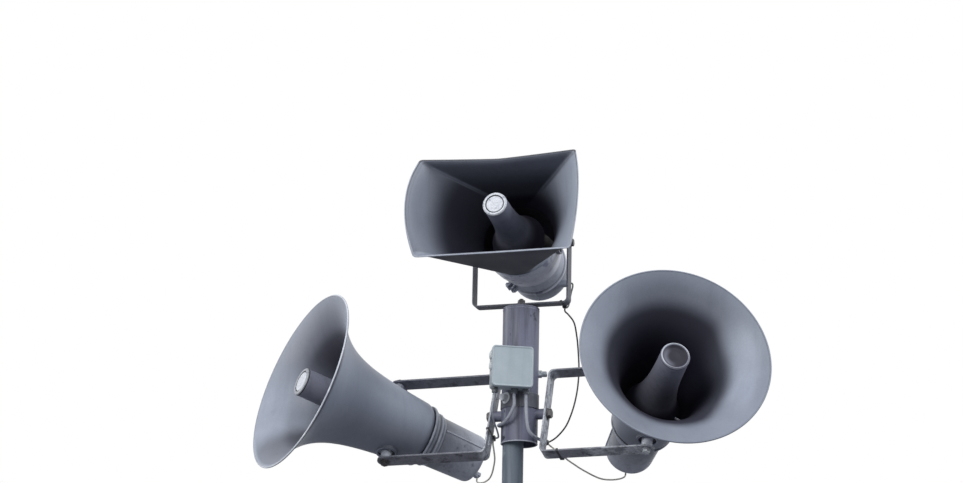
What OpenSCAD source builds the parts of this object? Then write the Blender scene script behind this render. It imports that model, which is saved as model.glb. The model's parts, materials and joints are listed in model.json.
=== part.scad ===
// Siren mast: one rectangular and two round re-entrant horns on flat steel
// U-brackets, clamped to a sleeve on top of a slim pipe.
// Millimetres, +Z up. The origin is the middle of the base plate's underside.
// The bolt that holds the two side brackets runs along X.

/* [Mast] */
// Outer diameter of the mast pipe
pipe_d = 51; // [42:0.5:62]
// Wall of the mast pipe
pipe_wall = 3.2; // [2.6:0.1:5]
// Height of the side bracket bolt above the ground
bolt_height = 2600; // [1500:10:4000]
// How far the pipe reaches up past the side bracket bolt
pipe_above_bolt = 210; // [120:5:240]
// Outer diameter of the head sleeve
sleeve_d = 88.9; // [80:0.1:110]
// Wall of the head sleeve
sleeve_wall = 3.2; // [2.6:0.1:6]
// Height of the sleeve above the side bracket bolt
sleeve_above_bolt = 259; // [245:1:330]
// Length of the sleeve below the side bracket bolt
sleeve_below_bolt = 72; // [60:1:120]
// Thickness of the welded sleeve cap
cap_t = 6; // [4:1:12]

/* [Base] */
// Width of the square base plate
base_w = 260; // [220:5:400]
// Thickness of the base plate
base_t = 10; // [8:1:20]
// Diameter of the four anchor holes
anchor_d = 14; // [10:1:22]
// Distance between anchor holes
anchor_pitch = 200; // [170:5:320]
// Height of the gussets
gusset_h = 130; // [60:5:250]
// Reach of the gussets out from the pipe
gusset_reach = 72; // [50:2:100]
// Thickness of the gussets
gusset_t = 6; // [4:1:12]

/* [Side brackets] */
// Width of the flat strap
strap_w = 38; // [30:1:50]
// Thickness of the flat strap
strap_t = 4; // [3:0.5:6]
// Inside radius of the strap's bends
strap_bend = 9; // [6:1:16]
// Clear height between the two arms
side_gap = 220; // [214:1:270]
// Length of the spacers between the sleeve and the side brackets
spacer_len = 22.55; // [18:0.05:45]
// Distance from the strap's inner face to the horn's pivot
side_arm = 262; // [235:1:330]
// Lean of the left bracket, its top to the back, in degrees
left_lean = 22; // [0:1:30]
// Lean of the right bracket, its top to the back, in degrees
right_lean = 17.5; // [0:0.5:30]
// Turn of the left horn to the front, in degrees
left_turn = 49; // [20:1:70]
// Turn of the right horn to the front, in degrees
right_turn = 61.5; // [30:0.5:80]
// Length of the adjustment slots in the strap
slot_len = 34; // [20:1:44]
// Width of the adjustment slots in the strap
slot_w = 9; // [7:0.5:12]

/* [Top bracket] */
// Width of the top bracket's strap
top_strap_w = 32; // [28:1:45]
// Clear width between the two arms
top_gap = 234; // [226:1:290]
// Height of the horn's pivot above the strap's underside
top_pivot_h = 154; // [146:1:240]
// Turn of the top bracket to the right, in degrees
top_turn = 3; // [-20:1:20]
// Upward tilt of the top horn in degrees
top_tilt = 8; // [0:1:20]
// Height of the nut that lifts the strap off the cap
lift_nut_h = 7; // [4:1:12]

/* [Bolts] */
// Diameter of the side bracket bolt
bolt_d = 12; // [10:1:16]
// Diameter of the pivot bolts and of the top bracket's stud
pivot_d = 10; // [8:1:12]

/* [Horns] */
// Diameter of the round mouths
mouth_d = 452; // [370:2:560]
// Wall of the spun and pressed sheet
sheet_t = 2.5; // [2:0.5:4]
// Distance from the pivot forward to the round mouth
mouth_ahead = 261; // [240:1:320]
// Distance from the pivot back to the bell's rear end
bell_behind = 80; // [70:1:100]
// Radius of the bell's rear end
bell_end_r = 78; // [72:1:84]
// Growth of the bell's radius for each millimetre forward, without the flare
bell_slope = 0.075; // [0.04:0.005:0.09]
// Length over which the flare fades behind the mouth
flare_fade = 62; // [50:1:75]
// Length of the two-step back ring
ring_len = 30; // [24:1:44]
// Length of the round horns' driver covers
driver_len = 131; // [90:1:150]
// Radius of the driver cover at its seat
driver_r = 65; // [56:1:70]
// Radius of the driver cover at its end
driver_end_r = 59; // [46:1:62]
// Radius of the round horns' reflectors at their noses
nose_r = 33; // [28:1:40]
// Radius of the top horn's reflector at its nose
top_nose_r = 28; // [24:1:36]
// Radius of the reflector's open rear
reflector_r = 66; // [56:1:72]
// Length of the reflector
reflector_len = 250; // [190:1:270]

/* [Rectangular mouth] */
// Width of the rectangular mouth
rect_w = 377; // [340:1:460]
// Height of the rectangular mouth
rect_h = 245; // [220:1:320]
// Depth of the rectangular flare from its corners to its seam
rect_depth = 224; // [180:1:260]
// Distance from the top horn's pivot forward to the flare's seam
rect_seam_ahead = 30; // [28:1:50]
// Radius of the round housing behind the flare
pot_r = 92; // [88:1:98]
// Distance from the top horn's pivot back to its housing's shoulder
shoulder_behind = 72; // [60:1:90]
// Distance from the top horn's pivot back to its driver's seat
top_seat_behind = 129; // [120:1:160]
// Length of the top horn's driver cover
top_driver_len = 60; // [40:1:90]
// Radius of the top horn's driver cover at its seat
top_driver_r = 76; // [60:1:80]

/* [Junction box] */
// Width and height of the junction box
box_w = 100; // [80:1:120]
// Depth of the junction box with its lid
box_depth = 52; // [40:1:70]
// Thickness of the lid
lid_t = 14; // [8:1:20]
// Height of the box's middle above the side bracket bolt
box_z = 98; // [90:1:130]
// Turn of the box from the front towards the right, in degrees
box_turn = 29; // [0:1:45]
// How far the box sits to the left of the sleeve's middle
box_shift = 35; // [0:1:40]

/* [Hidden] */
$fn = 96;
eps = 0.01;

// Clearances: between parts that slide or turn, and of a bolt in its hole.
slide_gap = 0.3;
hole_gap = 1;

slate = [0.45, 0.48, 0.53];
dark_slate = [0.25, 0.26, 0.30];
galvanised = [0.62, 0.64, 0.67];
box_grey = [0.62, 0.66, 0.68];
dark_bolt = [0.20, 0.20, 0.22];
black = [0.08, 0.08, 0.09];
lead_grey = [0.50, 0.52, 0.55];

// The pipe leans on the sleeve's left wall.
sleeve_x = sleeve_d/2 - sleeve_wall - pipe_d/2 - slide_gap;
sleeve_bottom = bolt_height - sleeve_below_bolt;
sleeve_top = bolt_height + sleeve_above_bolt;
pipe_top = bolt_height + pipe_above_bolt;
strap_seat_z = sleeve_top + cap_t + lift_nut_h;
// From the sleeve's axis to the inner face of a side bracket's strap
side_leg_x = sleeve_d/2 + spacer_len;

// Bolts: washers, hexagonal heads, and how far a washer stands out round its head
washer_t = 2.5;
washer_lap = 4;
bolt_head_h = 0.65*bolt_d;
bolt_head_d = 2*bolt_d;
pivot_head_h = 0.65*pivot_d;
pivot_head_d = 1.9*pivot_d;
spacer_r = 13;

// Set bolt on the sleeve: its height above the bracket bolt, its turn, nut, shank and cap
set_bolt_z = 102;
set_bolt_turn = 15;
set_nut_d = 19;
set_nut_h = 10;
set_bolt_d = 14;
set_bolt_len = 21;

// Stud of the top bracket: lifting nut, washer and how far it stands out of its top nut
lift_nut_d = 26;
stud_washer_d = 24;
stud_nut_h = 8;
stud_end = 3.5;

// Junction box: walls, the lid's overlap and raised border, and the band below it
box_wall = 3;
box_back_t = 4;
lid_lap = 2;
lid_border = 4;
lid_dip = 1;
box_band_t = 2;
box_band_w = 36;
box_band_gap = 1;
box_band_turn = 60;
ear_gap = 12;
ear_t = 4;
ear_reach = 13;
band_screw_d = 6;

// Glands under the box and grommets in its left side
gland_xs = [-box_w*0.38, box_w*0.1, box_w*0.38];
gland_nut_d = 18;
gland_nut_h = 5;
gland_d = 14;
gland_h = 7;
grommet_zs = [4, 30];
grommet_d = 20;
grommet_bore = 15;
grommet_t = 2;

// Cable entries on the driver covers, and the clips that hold the leads to the straps
entry_w = 16;
entry_reach = 20;
entry_drop = 46;
top_entry_side = top_driver_r + 8;
top_entry_behind = 142;
top_entry_drop = 45;
feed_entry_turn = 130;
feed_entry_reach = 10;
feed_entry_drop = 26;
clip_w = 11;
clip_h = 10;
clip_proud = 4;
tie_w = 5;
tie_t = 1.5;
left_clip_z = -46;
top_clip_x = 104;
right_clip_x = 45;
right_clip_rise = 16;

// Leads: diameters, and the points of their routes. Routes on the mast are measured from
// the side bracket bolt, routes on a bracket in that bracket's own frame.
trunk_d = 8;
lead_d = 4.5;
tail_d = 4;
lead_sides = 8;
trunk_route = [[34, -55, 38], [34, -55, 28], [36, -58, 0], [39, -58, -34], [43, -55, -52],
  [51, -44, -63], [57, -20, -66], [56, 2, -63], [55, 12, -61], [55, 20, -61]];
splitter_len = 22;
top_route = [[54, 42, -59], [54, 50, -59], [58, 60, -55], [67, 66, -48], [76, 70, -39],
  [94, 72, -17], [110, 75, 23], [120, 79, 73], [124, 78, 123], [124, 70, 171], [124, 57, 205],
  [121, 42, 235], [111, 31, 251], [103, 27, 260], [103, 27, 268]];
top_tail_route = [[104, 27, 0], [104, 36, 0], [103, 58, 10], [98, 88, 32], [95, 110, 58],
  [95, 126, 80], [91, 134, 89.5], [84.3, 134, 89.5]];
right_route = [[57, 42, -63], [57, 50, -63], [61, 54, -67], [68, 50, -73], [76, 38, -82],
  [83, 22, -91], [90, 6, -98], [99, -6, -102], [107, -6, -102]];
right_tail_route = [[45, 30, -99], [45, 38, -99], [49, 48, -101], [61, 75, -102],
  [74, 106, -101], [102, 155, -98], [121, 183, -87], [135, 206, -72], [140.5, 219, -60],
  [141, 222.8, -53], [141, 222.8, -46.3]];
left_route = [[-33, -92, 38], [-33, -92, 30], [-37, -92, 9], [-40, -85, -12], [-43, -66, -25],
  [-47, -42, -31], [-50, -20, -40], [-51, -6, -48], [-56, 5.5, -52], [-63, 5.5, -52]];
left_tail_route = [[0, -24.5, -51], [0, -24.5, -60], [-2, -34, -76], [0, -52, -87],
  [11, -80, -92], [28, -116, -89], [46, -146, -82], [70, -172, -73], [90, -187, -62],
  [95.7, -191.3, -54], [95.7, -191.3, -46.3]];
feed_route = [[9, -69, 38], [9, -69, 29], [10, -70, 11], [1, -67, -8], [-10, -61, -21],
  [-28, -44, -28], [-41, -31, -28], [-48, -14, -26], [-50, 4, -23], [-45, 21, -20],
  [-37, 33, -18], [-32, 38, -18]];

// Horn stations, measured forward from the pivot.
mouth_r = mouth_d/2;
lip_r = 4;
pad_r = 27;
pad_sink = 12;
pad_rise = 6;
dish_r = 22;
boss_r = 13;
bore_depth = 1.4*pivot_d;
side_boss_end = side_gap/2 - slide_gap;
top_boss_end = top_gap/2 - slide_gap;
arm_r = 24;
strut_turn = 67;
neck_r = top_driver_r - 4;
pot_floor_t = 4;
top_nose_back = 3;
top_cup_back = 219;
band_bolt_turn = 53;
seat_behind = bell_behind + ring_len;
rect_mouth_ahead = rect_seam_ahead + rect_depth;

// Shape of the rectangular flare: how far its sides bow out and forward at the mouth, how
// far its flat edges bow back, and the steps of a side arc and of a flat edge
side_bow = 21;
mouth_bow = 30;
flat_bow = 13;
arc_steps = 12;
flat_steps = 4;

// Outer radius of the round bell at a distance behind its mouth: a straight taper
// plus a flare that fades out exponentially
function bell_r(back) =
  let (base = bell_end_r + bell_slope*(mouth_ahead + bell_behind - back),
       flare = mouth_r - bell_end_r - bell_slope*(mouth_ahead + bell_behind))
  base + flare*exp(-back/flare_fade);

// Places things on the side bracket bolt's axis.
module at_bolt() {
  translate([sleeve_x, 0, bolt_height]) children();
}

// Frame of a side bracket: +X runs out along the arms, +Z along the horn's pivot.
module side_frame(side) {
  at_bolt() rotate([side == "left" ? -left_lean : -right_lean, 0, 0]) rotate([0, 0, side == "left" ? 180 : 0])
    translate([side_leg_x, 0, 0]) children();
}

// Frame of a side horn: the origin is on its pivot, +X points out of the mouth.
module side_horn_frame(side) {
  side_frame(side) translate([side_arm, 0, 0])
    rotate([0, 0, side == "left" ? left_turn : -right_turn]) children();
}

// Frame of the top bracket: the origin is under the strap on the stud's axis.
module top_frame() {
  translate([sleeve_x, 0, strap_seat_z]) rotate([0, 0, top_turn]) children();
}

// Frame of the top horn: the origin is on its pivot, +X points out of the mouth.
module top_horn_frame() {
  top_frame() translate([0, 0, top_pivot_h]) rotate([-top_tilt, 0, 0])
    rotate([0, 0, -90]) rotate([90, 0, 0]) children();
}

// Turns a shape that is built along Z so that it runs along X.
module along_x() {
  rotate([0, 90, 0]) children();
}

// A hexagonal head with its underside at the origin
module hex_head(across_corners, h) {
  cylinder(d = across_corners, h = h, $fn = 6);
}

// Flat strap bent into a U: the leg stands in the YZ plane, the arms run along +X.
module u_strap(gap, reach, w, leg_hole_d, arm_hole_d) {
  outer_r = strap_bend + strap_t;
  half = gap/2 + strap_t;
  difference() {
    union() {
      translate([0, -w/2, -half + outer_r]) cube([strap_t, w, 2*(half - outer_r)]);
      for (s = [-1, 1]) {
        translate([outer_r, w/2, s*(half - outer_r)]) rotate([90, 0, 0])
          rotate([0, 0, s > 0 ? 90 : 180])
            rotate_extrude(angle = 90) translate([strap_bend, 0]) square([strap_t, w]);
      }
      for (s = [-1, 1]) {
        translate([outer_r, -w/2, s > 0 ? gap/2 : -half]) cube([reach - outer_r, w, strap_t]);
        translate([reach, 0, s > 0 ? gap/2 : -half]) cylinder(d = w, h = strap_t);
      }
    }
    translate([-eps, 0, 0]) along_x() cylinder(d = leg_hole_d, h = strap_t + 2*eps);
    translate([reach, 0, -half - eps]) cylinder(d = arm_hole_d, h = 2*half + 2*eps);
  }
}

// A slot cut through a strap's leg, centred at a height on the leg
module leg_slot(z) {
  straight = slot_len - slot_w;
  translate([-eps, -slot_w/2, z - straight/2]) cube([strap_t + 2*eps, slot_w, straight]);
  for (s = [-1, 1])
    translate([-eps, 0, z + s*straight/2]) along_x() cylinder(d = slot_w, h = strap_t + 2*eps);
}

// Side bracket: a U-strap with two adjustment slots in its leg
module side_bracket() {
  difference() {
    u_strap(side_gap, side_arm, strap_w, bolt_d + hole_gap, pivot_d + hole_gap);
    for (s = [-1, 1]) leg_slot(s*side_gap*0.3);
  }
}

// Pivot bolts in the strap's arms: hexagonal heads outside, shanks in the bosses
module pivot_bolts(gap) {
  for (s = [-1, 1]) mirror([0, 0, s > 0 ? 0 : 1]) {
    translate([0, 0, gap/2 - pivot_d]) cylinder(d = pivot_d, h = pivot_d + strap_t + washer_t);
    translate([0, 0, gap/2 + strap_t]) cylinder(d = pivot_head_d + washer_lap, h = washer_t);
    translate([0, 0, gap/2 + strap_t + washer_t]) hex_head(pivot_head_d, pivot_head_h);
  }
}

// Runs its children at both ends of the pivot axis.
module both_pivots() {
  for (s = [0, 1]) mirror([0, 0, s]) children();
}

// A dished pad with a boss that stands out to the bracket's arm
module pivot_pad(seat, boss_end) {
  translate([0, 0, seat - pad_sink]) {
    difference() {
      cylinder(r = pad_r, h = pad_sink + pad_rise);
      translate([0, 0, pad_sink]) cylinder(r = dish_r, h = pad_rise + 1);
    }
    cylinder(r = boss_r, h = boss_end - seat + pad_sink);
  }
}

// The threaded bore for a pivot bolt
module pivot_bore(boss_end) {
  translate([0, 0, boss_end - bore_depth]) cylinder(d = pivot_d + 2*slide_gap, h = bore_depth + 1);
}

// Round bell: a spun taper and flare of thin sheet with a rolled lip and two pivot pads.
// Its stations lie closer towards the mouth, where the steep flare needs a wider wall across.
module round_bell() {
  stations = 18;
  depth = mouth_ahead + bell_behind;
  backs = [for (i = [0:stations]) depth*pow(i/stations, 1.7)];
  function wall(i) = sheet_t*(1 + max(0, 0.7 - 0.12*i));
  outer = [for (b = backs) [bell_r(b), mouth_ahead - b]];
  inner = [for (i = [stations:-1:0]) [bell_r(backs[i]) - wall(i), mouth_ahead - backs[i]]];
  hollow = concat([[0, mouth_ahead]], [for (i = [0:stations]) inner[stations - i]],
                  [[0, -bell_behind]]);
  pad_seat = bell_r(mouth_ahead) - 1;
  difference() {
    union() {
      along_x() rotate_extrude() polygon(concat(outer, inner));
      difference() {
        both_pivots() pivot_pad(pad_seat, side_boss_end);
        along_x() rotate_extrude() polygon(hollow);
      }
    }
    both_pivots() pivot_bore(side_boss_end);
  }
  along_x() translate([0, 0, mouth_ahead]) rotate_extrude()
    translate([mouth_r - lip_r/2, 0]) circle(r = lip_r, $fn = 24);
}

// Back ring of a round horn: a plate with two raised hoops between bell and driver
module back_ring() {
  along_x() rotate_extrude() polygon([
    [0, -seat_behind], [driver_r + 2, -seat_behind], [driver_r + 3.5, -seat_behind + 2],
    [driver_r + 3.5, -seat_behind + 6], [driver_r + 1, -seat_behind + 8],
    [driver_r + 2, -seat_behind + 12], [driver_r + 6, -seat_behind + 15],
    [driver_r + 7, -seat_behind + 20], [bell_end_r - 3, -bell_behind - 7],
    [bell_end_r + 2, -bell_behind - 6], [bell_end_r + 3, -bell_behind - 4],
    [bell_end_r + 3, -bell_behind - 1], [bell_end_r + 2, -bell_behind],
    [bell_end_r - 4, -bell_behind], [bell_end_r - 10, -bell_behind - 8], [0, -bell_behind - 8]
  ]);
}

// Rear housing of the top horn: a shouldered pot, a straight neck for the clamp band,
// and a seat for the driver
module top_pot() {
  ahead = rect_seam_ahead;
  floor_x = -shoulder_behind + pot_floor_t;
  difference() {
    union() {
      along_x() rotate_extrude() polygon([
        [0, -top_seat_behind], [top_driver_r + 1, -top_seat_behind],
        [top_driver_r + 3, -top_seat_behind + 2], [top_driver_r + 3, -top_seat_behind + 6],
        [neck_r, -top_seat_behind + 8], [neck_r, -shoulder_behind - 6],
        [neck_r + 4, -shoulder_behind - 4], [pot_r - 13, -shoulder_behind - 1],
        [pot_r - 12, -shoulder_behind + 2], [pot_r - 12, -shoulder_behind + 6],
        [pot_r - 9, -shoulder_behind + 18], [pot_r - 3, -shoulder_behind + 42],
        [pot_r, -shoulder_behind + 66], [pot_r, ahead], [0, ahead]
      ]);
      both_pivots() pivot_pad(pot_r - 1, top_boss_end);
    }
    along_x() rotate_extrude() polygon([
      [0, floor_x], [pot_r - 24, floor_x], [pot_r - 9 - sheet_t, floor_x + 14],
      [pot_r - 3 - sheet_t, -shoulder_behind + 42], [pot_r - sheet_t, -shoulder_behind + 66],
      [pot_r - sheet_t, ahead + eps], [0, ahead + eps]
    ]);
    both_pivots() pivot_bore(top_boss_end);
  }
}

// Clamp band round the top housing's neck, closed by a bolt through two ears
module clamp_band() {
  band_t = 3;
  band_from = -top_seat_behind + 10;
  band_w = top_seat_behind - shoulder_behind - 17;
  gap = 8;
  lug_w = 20;
  screw_d = 8;
  screw_head_d = 15;
  screw_head_h = 6;
  translate([band_from, 0, 0]) rotate([band_bolt_turn, 0, 0]) {
    along_x() difference() {
      union() {
        cylinder(r = neck_r + band_t, h = band_w);
        for (y = [-gap/2 - ear_t, gap/2])
          translate([-neck_r - lug_w, y, (band_w - lug_w)/2]) cube([lug_w + 2, ear_t, lug_w]);
      }
      translate([0, 0, -1]) cylinder(r = neck_r, h = band_w + 2);
      translate([-neck_r - 1.5*lug_w, -gap/2, -1]) cube([2*lug_w, gap, band_w + 2]);
    }
    translate([band_w/2, -gap/2 - ear_t - screw_head_h, neck_r + 0.6*lug_w])
      rotate([-90, 0, 0]) {
        cylinder(d = screw_d, h = gap + 2*ear_t + 2*screw_head_h + 4);
        hex_head(screw_head_d, screw_head_h);
        translate([0, 0, gap + 2*ear_t + screw_head_h]) hex_head(screw_head_d, screw_head_h);
      }
  }
}

// Reflector: a closed nose that widens to an open cup, on the tone arm that carries it.
// With a wall radius, three struts reach out to the horn's wall.
module reflector(nose_r, nose_x, rear_x, floor_x, wall_r) {
  wall = 3;
  stations = 10;
  length = nose_x - rear_x;
  cup_x = nose_x - 3 - length*0.2;
  function r_at(t) = nose_r + 2 + (reflector_r - nose_r - 2)*pow(t, 3.4);
  outer = [for (i = [0:stations]) [r_at(i/stations), nose_x - 3 - (length - 3)*i/stations]];
  inner = [for (i = [stations:-1:2]) [r_at(i/stations) - wall, nose_x - 3 - (length - 3)*i/stations]];
  along_x() {
    rotate_extrude() polygon(concat(
      [[0, nose_x - 2], [nose_r*0.55, nose_x - 2], [nose_r*0.62, nose_x - 5],
       [nose_r*0.72, nose_x - 5], [nose_r*0.78, nose_x], [nose_r - 1, nose_x],
       [nose_r + 1, nose_x - 1.5]],
      outer, inner, [[arm_r - 6, cup_x], [0, cup_x]]));
    difference() {
      translate([0, 0, floor_x]) cylinder(r1 = arm_r, r2 = arm_r - 6, h = cup_x - floor_x);
      translate([0, 0, floor_x - eps]) cylinder(r = arm_r - 9, h = rear_x + 40 - floor_x);
    }
    if (wall_r > 0) for (k = [0:2]) rotate([0, 0, 120*k + strut_turn])
      translate([reflector_r - 4, 0, rear_x + 6]) rotate([0, 90, 0])
        cylinder(d = 6, h = wall_r - reflector_r + 3.4);
  }
}

// Driver cover: a tapered can with a rounded end, two mould ridges and a seat rim
module driver(seat, length, seat_r, end_r) {
  end = -seat - length;
  along_x() rotate_extrude() polygon([
    [0, -seat], [seat_r, -seat], [seat_r, -seat - 6], [seat_r - 1.5, -seat - 8],
    [end_r + 1, end + 14], [end_r - 1, end + 6], [end_r - 6, end + 1.5],
    [end_r - 14, end], [0, end]
  ]);
  taper = atan((seat_r - 1.5 - end_r - 1)/(length - 22));
  for (s = [0, 1]) mirror([0, s, 0]) translate([-seat - 10, seat_r - 3.5, 0])
    rotate([0, 0, taper]) translate([-length + 26, 0, -2]) cube([length - 26, 4.5, 4]);
}

// Cable entry on a side horn's driver cover, open downwards
module side_entry() {
  translate([-seat_behind - driver_len - entry_reach, -entry_w/2, -entry_drop])
    cube([entry_reach + 8, entry_w, entry_w]);
}

// One ring of the flare: flat top and bottom edges that narrow towards the seam, joined by
// side arcs that swell until the ring is a circle there. Near the mouth the sides bow
// forward and the flat edges bow in.
function rect_ring(back, inset) =
  let (
    t = back/rect_depth,
    seam_a = 0.15*pot_r,
    seam_b = sqrt(pot_r*pot_r - seam_a*seam_a),
    a0 = seam_a + (rect_w/2 - seam_a)*(1 - t),
    sag = pot_r + (rect_w/2 + side_bow - pot_r)*pow(1 - t, 1.25) - a0,
    a = a0 - inset,
    b = seam_b + (rect_h/2 - seam_b)*(1 - t) - inset,
    r = (b*b + sag*sag)/(2*sag),
    half = atan2(b, r - sag),
    near = (1 - t)*(1 - t),
    bulge = (pot_r - seam_b)*pow(t, 6) - 5*near
  )
  [for (side = [0:3], j = [0:(side%2 == 0 ? arc_steps : flat_steps) - 1])
    let (
      u = 2*j/(side%2 == 0 ? arc_steps : flat_steps) - 1,
      way = side < 2 ? 1 : -1,
      across = side%2 == 0 ? a + sag - r + r*cos(half*u) : -a*u,
      up = side%2 == 0 ? r*sin(half*u) : b + bulge*(1 - u*u),
      forward = (side%2 == 0 ? mouth_bow : -flat_bow)*near*(1 - u*u)
    )
    [rect_mouth_ahead - back + forward, way*up, -way*across]];

// Rectangular flare: two triangular flat panels and two curved ones, one closed skin
module rect_flare() {
  count = 2*arc_steps + 2*flat_steps;
  steps = 11;
  lip_w = 6;
  lip_t = 5;
  backs = [for (i = [0:steps]) rect_depth*i/steps];
  rings = concat(
    [for (i = [steps:-1:1]) rect_ring(backs[i], 0)],
    [rect_ring(lip_t + 1, 0), rect_ring(lip_t, -lip_w),
     rect_ring(0, -lip_w)],
    [for (i = [0:steps]) rect_ring(backs[i], sheet_t)]);
  n = len(rings);
  points = [for (ring = rings, p = ring) p];
  faces = [for (k = [0:n - 1], j = [0:count - 1])
    let (
      a = k*count + j,
      b = k*count + (j + 1)%count,
      c = ((k + 1)%n)*count + (j + 1)%count,
      d = ((k + 1)%n)*count + j
    )
    each [[a, b, c], [a, c, d]]];
  polyhedron(points, faces);
}

// Square base plate with four anchor holes
module base_plate() color(galvanised) difference() {
  translate([-base_w/2, -base_w/2, 0]) cube([base_w, base_w, base_t]);
  for (x = [-1, 1], y = [-1, 1])
    translate([x*anchor_pitch/2, y*anchor_pitch/2, -eps]) cylinder(d = anchor_d, h = base_t + 2*eps);
}

// Four triangular gussets between the plate and the pipe
module base_gussets() color(galvanised) for (k = [0:3]) rotate([0, 0, 90*k])
  translate([pipe_d/2, gusset_t/2, base_t]) rotate([90, 0, 0])
    linear_extrude(gusset_t) polygon([
      [0, 0], [gusset_reach, 0], [gusset_reach, 12], [12, gusset_h], [0, gusset_h]]);

// The slim pipe from the base plate up into the head sleeve
module mast_pipe() color(slate) difference() {
  translate([0, 0, base_t]) cylinder(d = pipe_d, h = pipe_top - base_t);
  translate([0, 0, base_t - eps]) cylinder(d = pipe_d - 2*pipe_wall, h = pipe_top - base_t + 2*eps);
  translate([-pipe_d, 0, bolt_height]) along_x() cylinder(d = bolt_d + hole_gap, h = 2*pipe_d);
}

// The sleeve over the pipe's top, drilled for the bracket bolt
module head_sleeve() color(dark_slate) difference() {
  translate([sleeve_x, 0, sleeve_bottom])
    cylinder(d = sleeve_d, h = sleeve_below_bolt + sleeve_above_bolt);
  translate([sleeve_x, 0, sleeve_bottom - eps])
    cylinder(d = sleeve_d - 2*sleeve_wall, h = sleeve_below_bolt + sleeve_above_bolt + 2*eps);
  at_bolt() translate([-sleeve_d, 0, 0]) along_x() cylinder(d = bolt_d + hole_gap, h = 2*sleeve_d);
}

// Welded cap that closes the sleeve
module sleeve_cap() color(dark_slate) translate([sleeve_x, 0, sleeve_top])
  cylinder(d = sleeve_d, h = cap_t);

// A long set bolt with a round cap that stands out of a welded nut on the sleeve's right
module pipe_set_bolt() color(galvanised) at_bolt() translate([0, 0, set_bolt_z]) difference() {
  rotate([0, 0, set_bolt_turn]) translate([sleeve_d/2 - 2, 0, 0]) along_x() {
    hex_head(set_nut_d, set_nut_h);
    cylinder(d = set_bolt_d, h = set_bolt_len);
    translate([0, 0, set_bolt_len]) cylinder(d1 = set_bolt_d, d2 = set_bolt_d - 4, h = 2);
  }
  translate([0, 0, -set_nut_d]) cylinder(d = sleeve_d, h = 2*set_nut_d);
}

// The long bolt through both brackets, the spacers, the sleeve and the pipe
module bracket_bolt() color(dark_bolt) at_bolt() {
  reach = side_leg_x + strap_t + washer_t;
  translate([-reach, 0, 0]) along_x() cylinder(d = bolt_d, h = 2*reach);
  for (s = [-1, 1]) mirror([s > 0 ? 0 : 1, 0, 0]) {
    translate([reach - washer_t, 0, 0]) along_x()
      cylinder(d = bolt_head_d + washer_lap, h = washer_t);
    translate([reach, 0, 0]) along_x() hex_head(bolt_head_d, bolt_head_h);
  }
}

// Spacer tubes between the sleeve and the brackets
module bolt_spacers() color(dark_slate) at_bolt() for (s = [-1, 1])
  mirror([s > 0 ? 0 : 1, 0, 0]) difference() {
    translate([sleeve_d/2 - 4, 0, 0]) along_x() cylinder(r = spacer_r, h = spacer_len + 4);
    translate([sleeve_d/2 - 5, 0, 0]) along_x()
      cylinder(d = bolt_d + hole_gap, h = spacer_len + 6);
    translate([0, 0, -spacer_r - 1]) cylinder(d = sleeve_d, h = 2*spacer_r + 2);
  }

// Frame of the junction box: -Y is its front, the origin is on the sleeve's axis
module box_frame() {
  translate([sleeve_x, 0, bolt_height + box_z]) rotate([0, 0, box_turn]) children();
}

// A square with round corners
module round_square(w, h, r) {
  translate([-w/2 + r, -h/2]) square([w - 2*r, h]);
  translate([-w/2, -h/2 + r]) square([w, h - 2*r]);
  for (x = [-1, 1], y = [-1, 1]) translate([x*(w/2 - r), y*(h/2 - r)]) circle(r = r, $fn = 32);
}

// Steel band round the sleeve, with two ears and a tightening screw at the back and a
// hexagonal set screw at the front left
module box_band() color(galvanised) box_frame()
  translate([0, 0, lid_lap - box_w/2 - box_band_gap - box_band_w]) rotate([0, 0, box_band_turn]) {
    difference() {
      union() {
        cylinder(d = sleeve_d + 2*box_band_t, h = box_band_w);
        for (y = [-ear_gap/2 - ear_t, ear_gap/2])
          translate([sleeve_d/2 - 3, y, 0]) cube([ear_reach + 3, ear_t, box_band_w]);
      }
      translate([0, 0, -1]) cylinder(d = sleeve_d, h = box_band_w + 2);
      translate([0, -ear_gap/2, -1]) cube([sleeve_d, ear_gap, box_band_w + 2]);
    }
    translate([sleeve_d/2 + 8, -16, box_band_w/2]) rotate([-90, 0, 0]) {
      cylinder(d = band_screw_d, h = 30);
      hex_head(band_screw_d + 5, 5);
    }
    rotate([0, 0, 150]) translate([sleeve_d/2 + box_band_t/2, 0, box_band_w*0.66]) along_x()
      hex_head(set_nut_d, 12);
  }

// Junction box body, open to the front where the lid closes it
module junction_box() color(box_grey) box_frame()
  translate([-box_shift, -sleeve_d/2, 0]) rotate([90, 0, 0]) difference() {
    body_w = box_w - 2*lid_lap;
    linear_extrude(box_depth - lid_t) round_square(body_w, body_w, 6);
    translate([0, 0, box_back_t]) linear_extrude(box_depth)
      round_square(body_w - 2*box_wall, body_w - 2*box_wall, 4);
  }

// Box lid with a lowered face inside a raised border
module box_lid() color(box_grey) box_frame()
  translate([-box_shift, -sleeve_d/2 - box_depth + lid_t, 0]) rotate([90, 0, 0]) difference() {
    linear_extrude(lid_t) round_square(box_w, box_w, 8);
    translate([0, 0, lid_t - lid_dip]) linear_extrude(2*lid_dip)
      round_square(box_w - 2*lid_border, box_w - 2*lid_border, 5);
  }

// Three glands in the box's underside, two grommets in its left side, and the cable entry
// on the sleeve's rear
module cable_glands() color(box_grey) {
  at_bolt() difference() {
    rotate([0, 0, feed_entry_turn])
      translate([sleeve_d/2 - 3, -entry_w, -feed_entry_drop])
        cube([feed_entry_reach + 3, entry_w, entry_w]);
    translate([0, 0, -feed_entry_drop - 4]) cylinder(d = sleeve_d, h = feed_entry_drop + 4);
  }
  box_frame() translate([-box_shift, -sleeve_d/2 - 20, 0]) box_glands();
}

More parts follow.
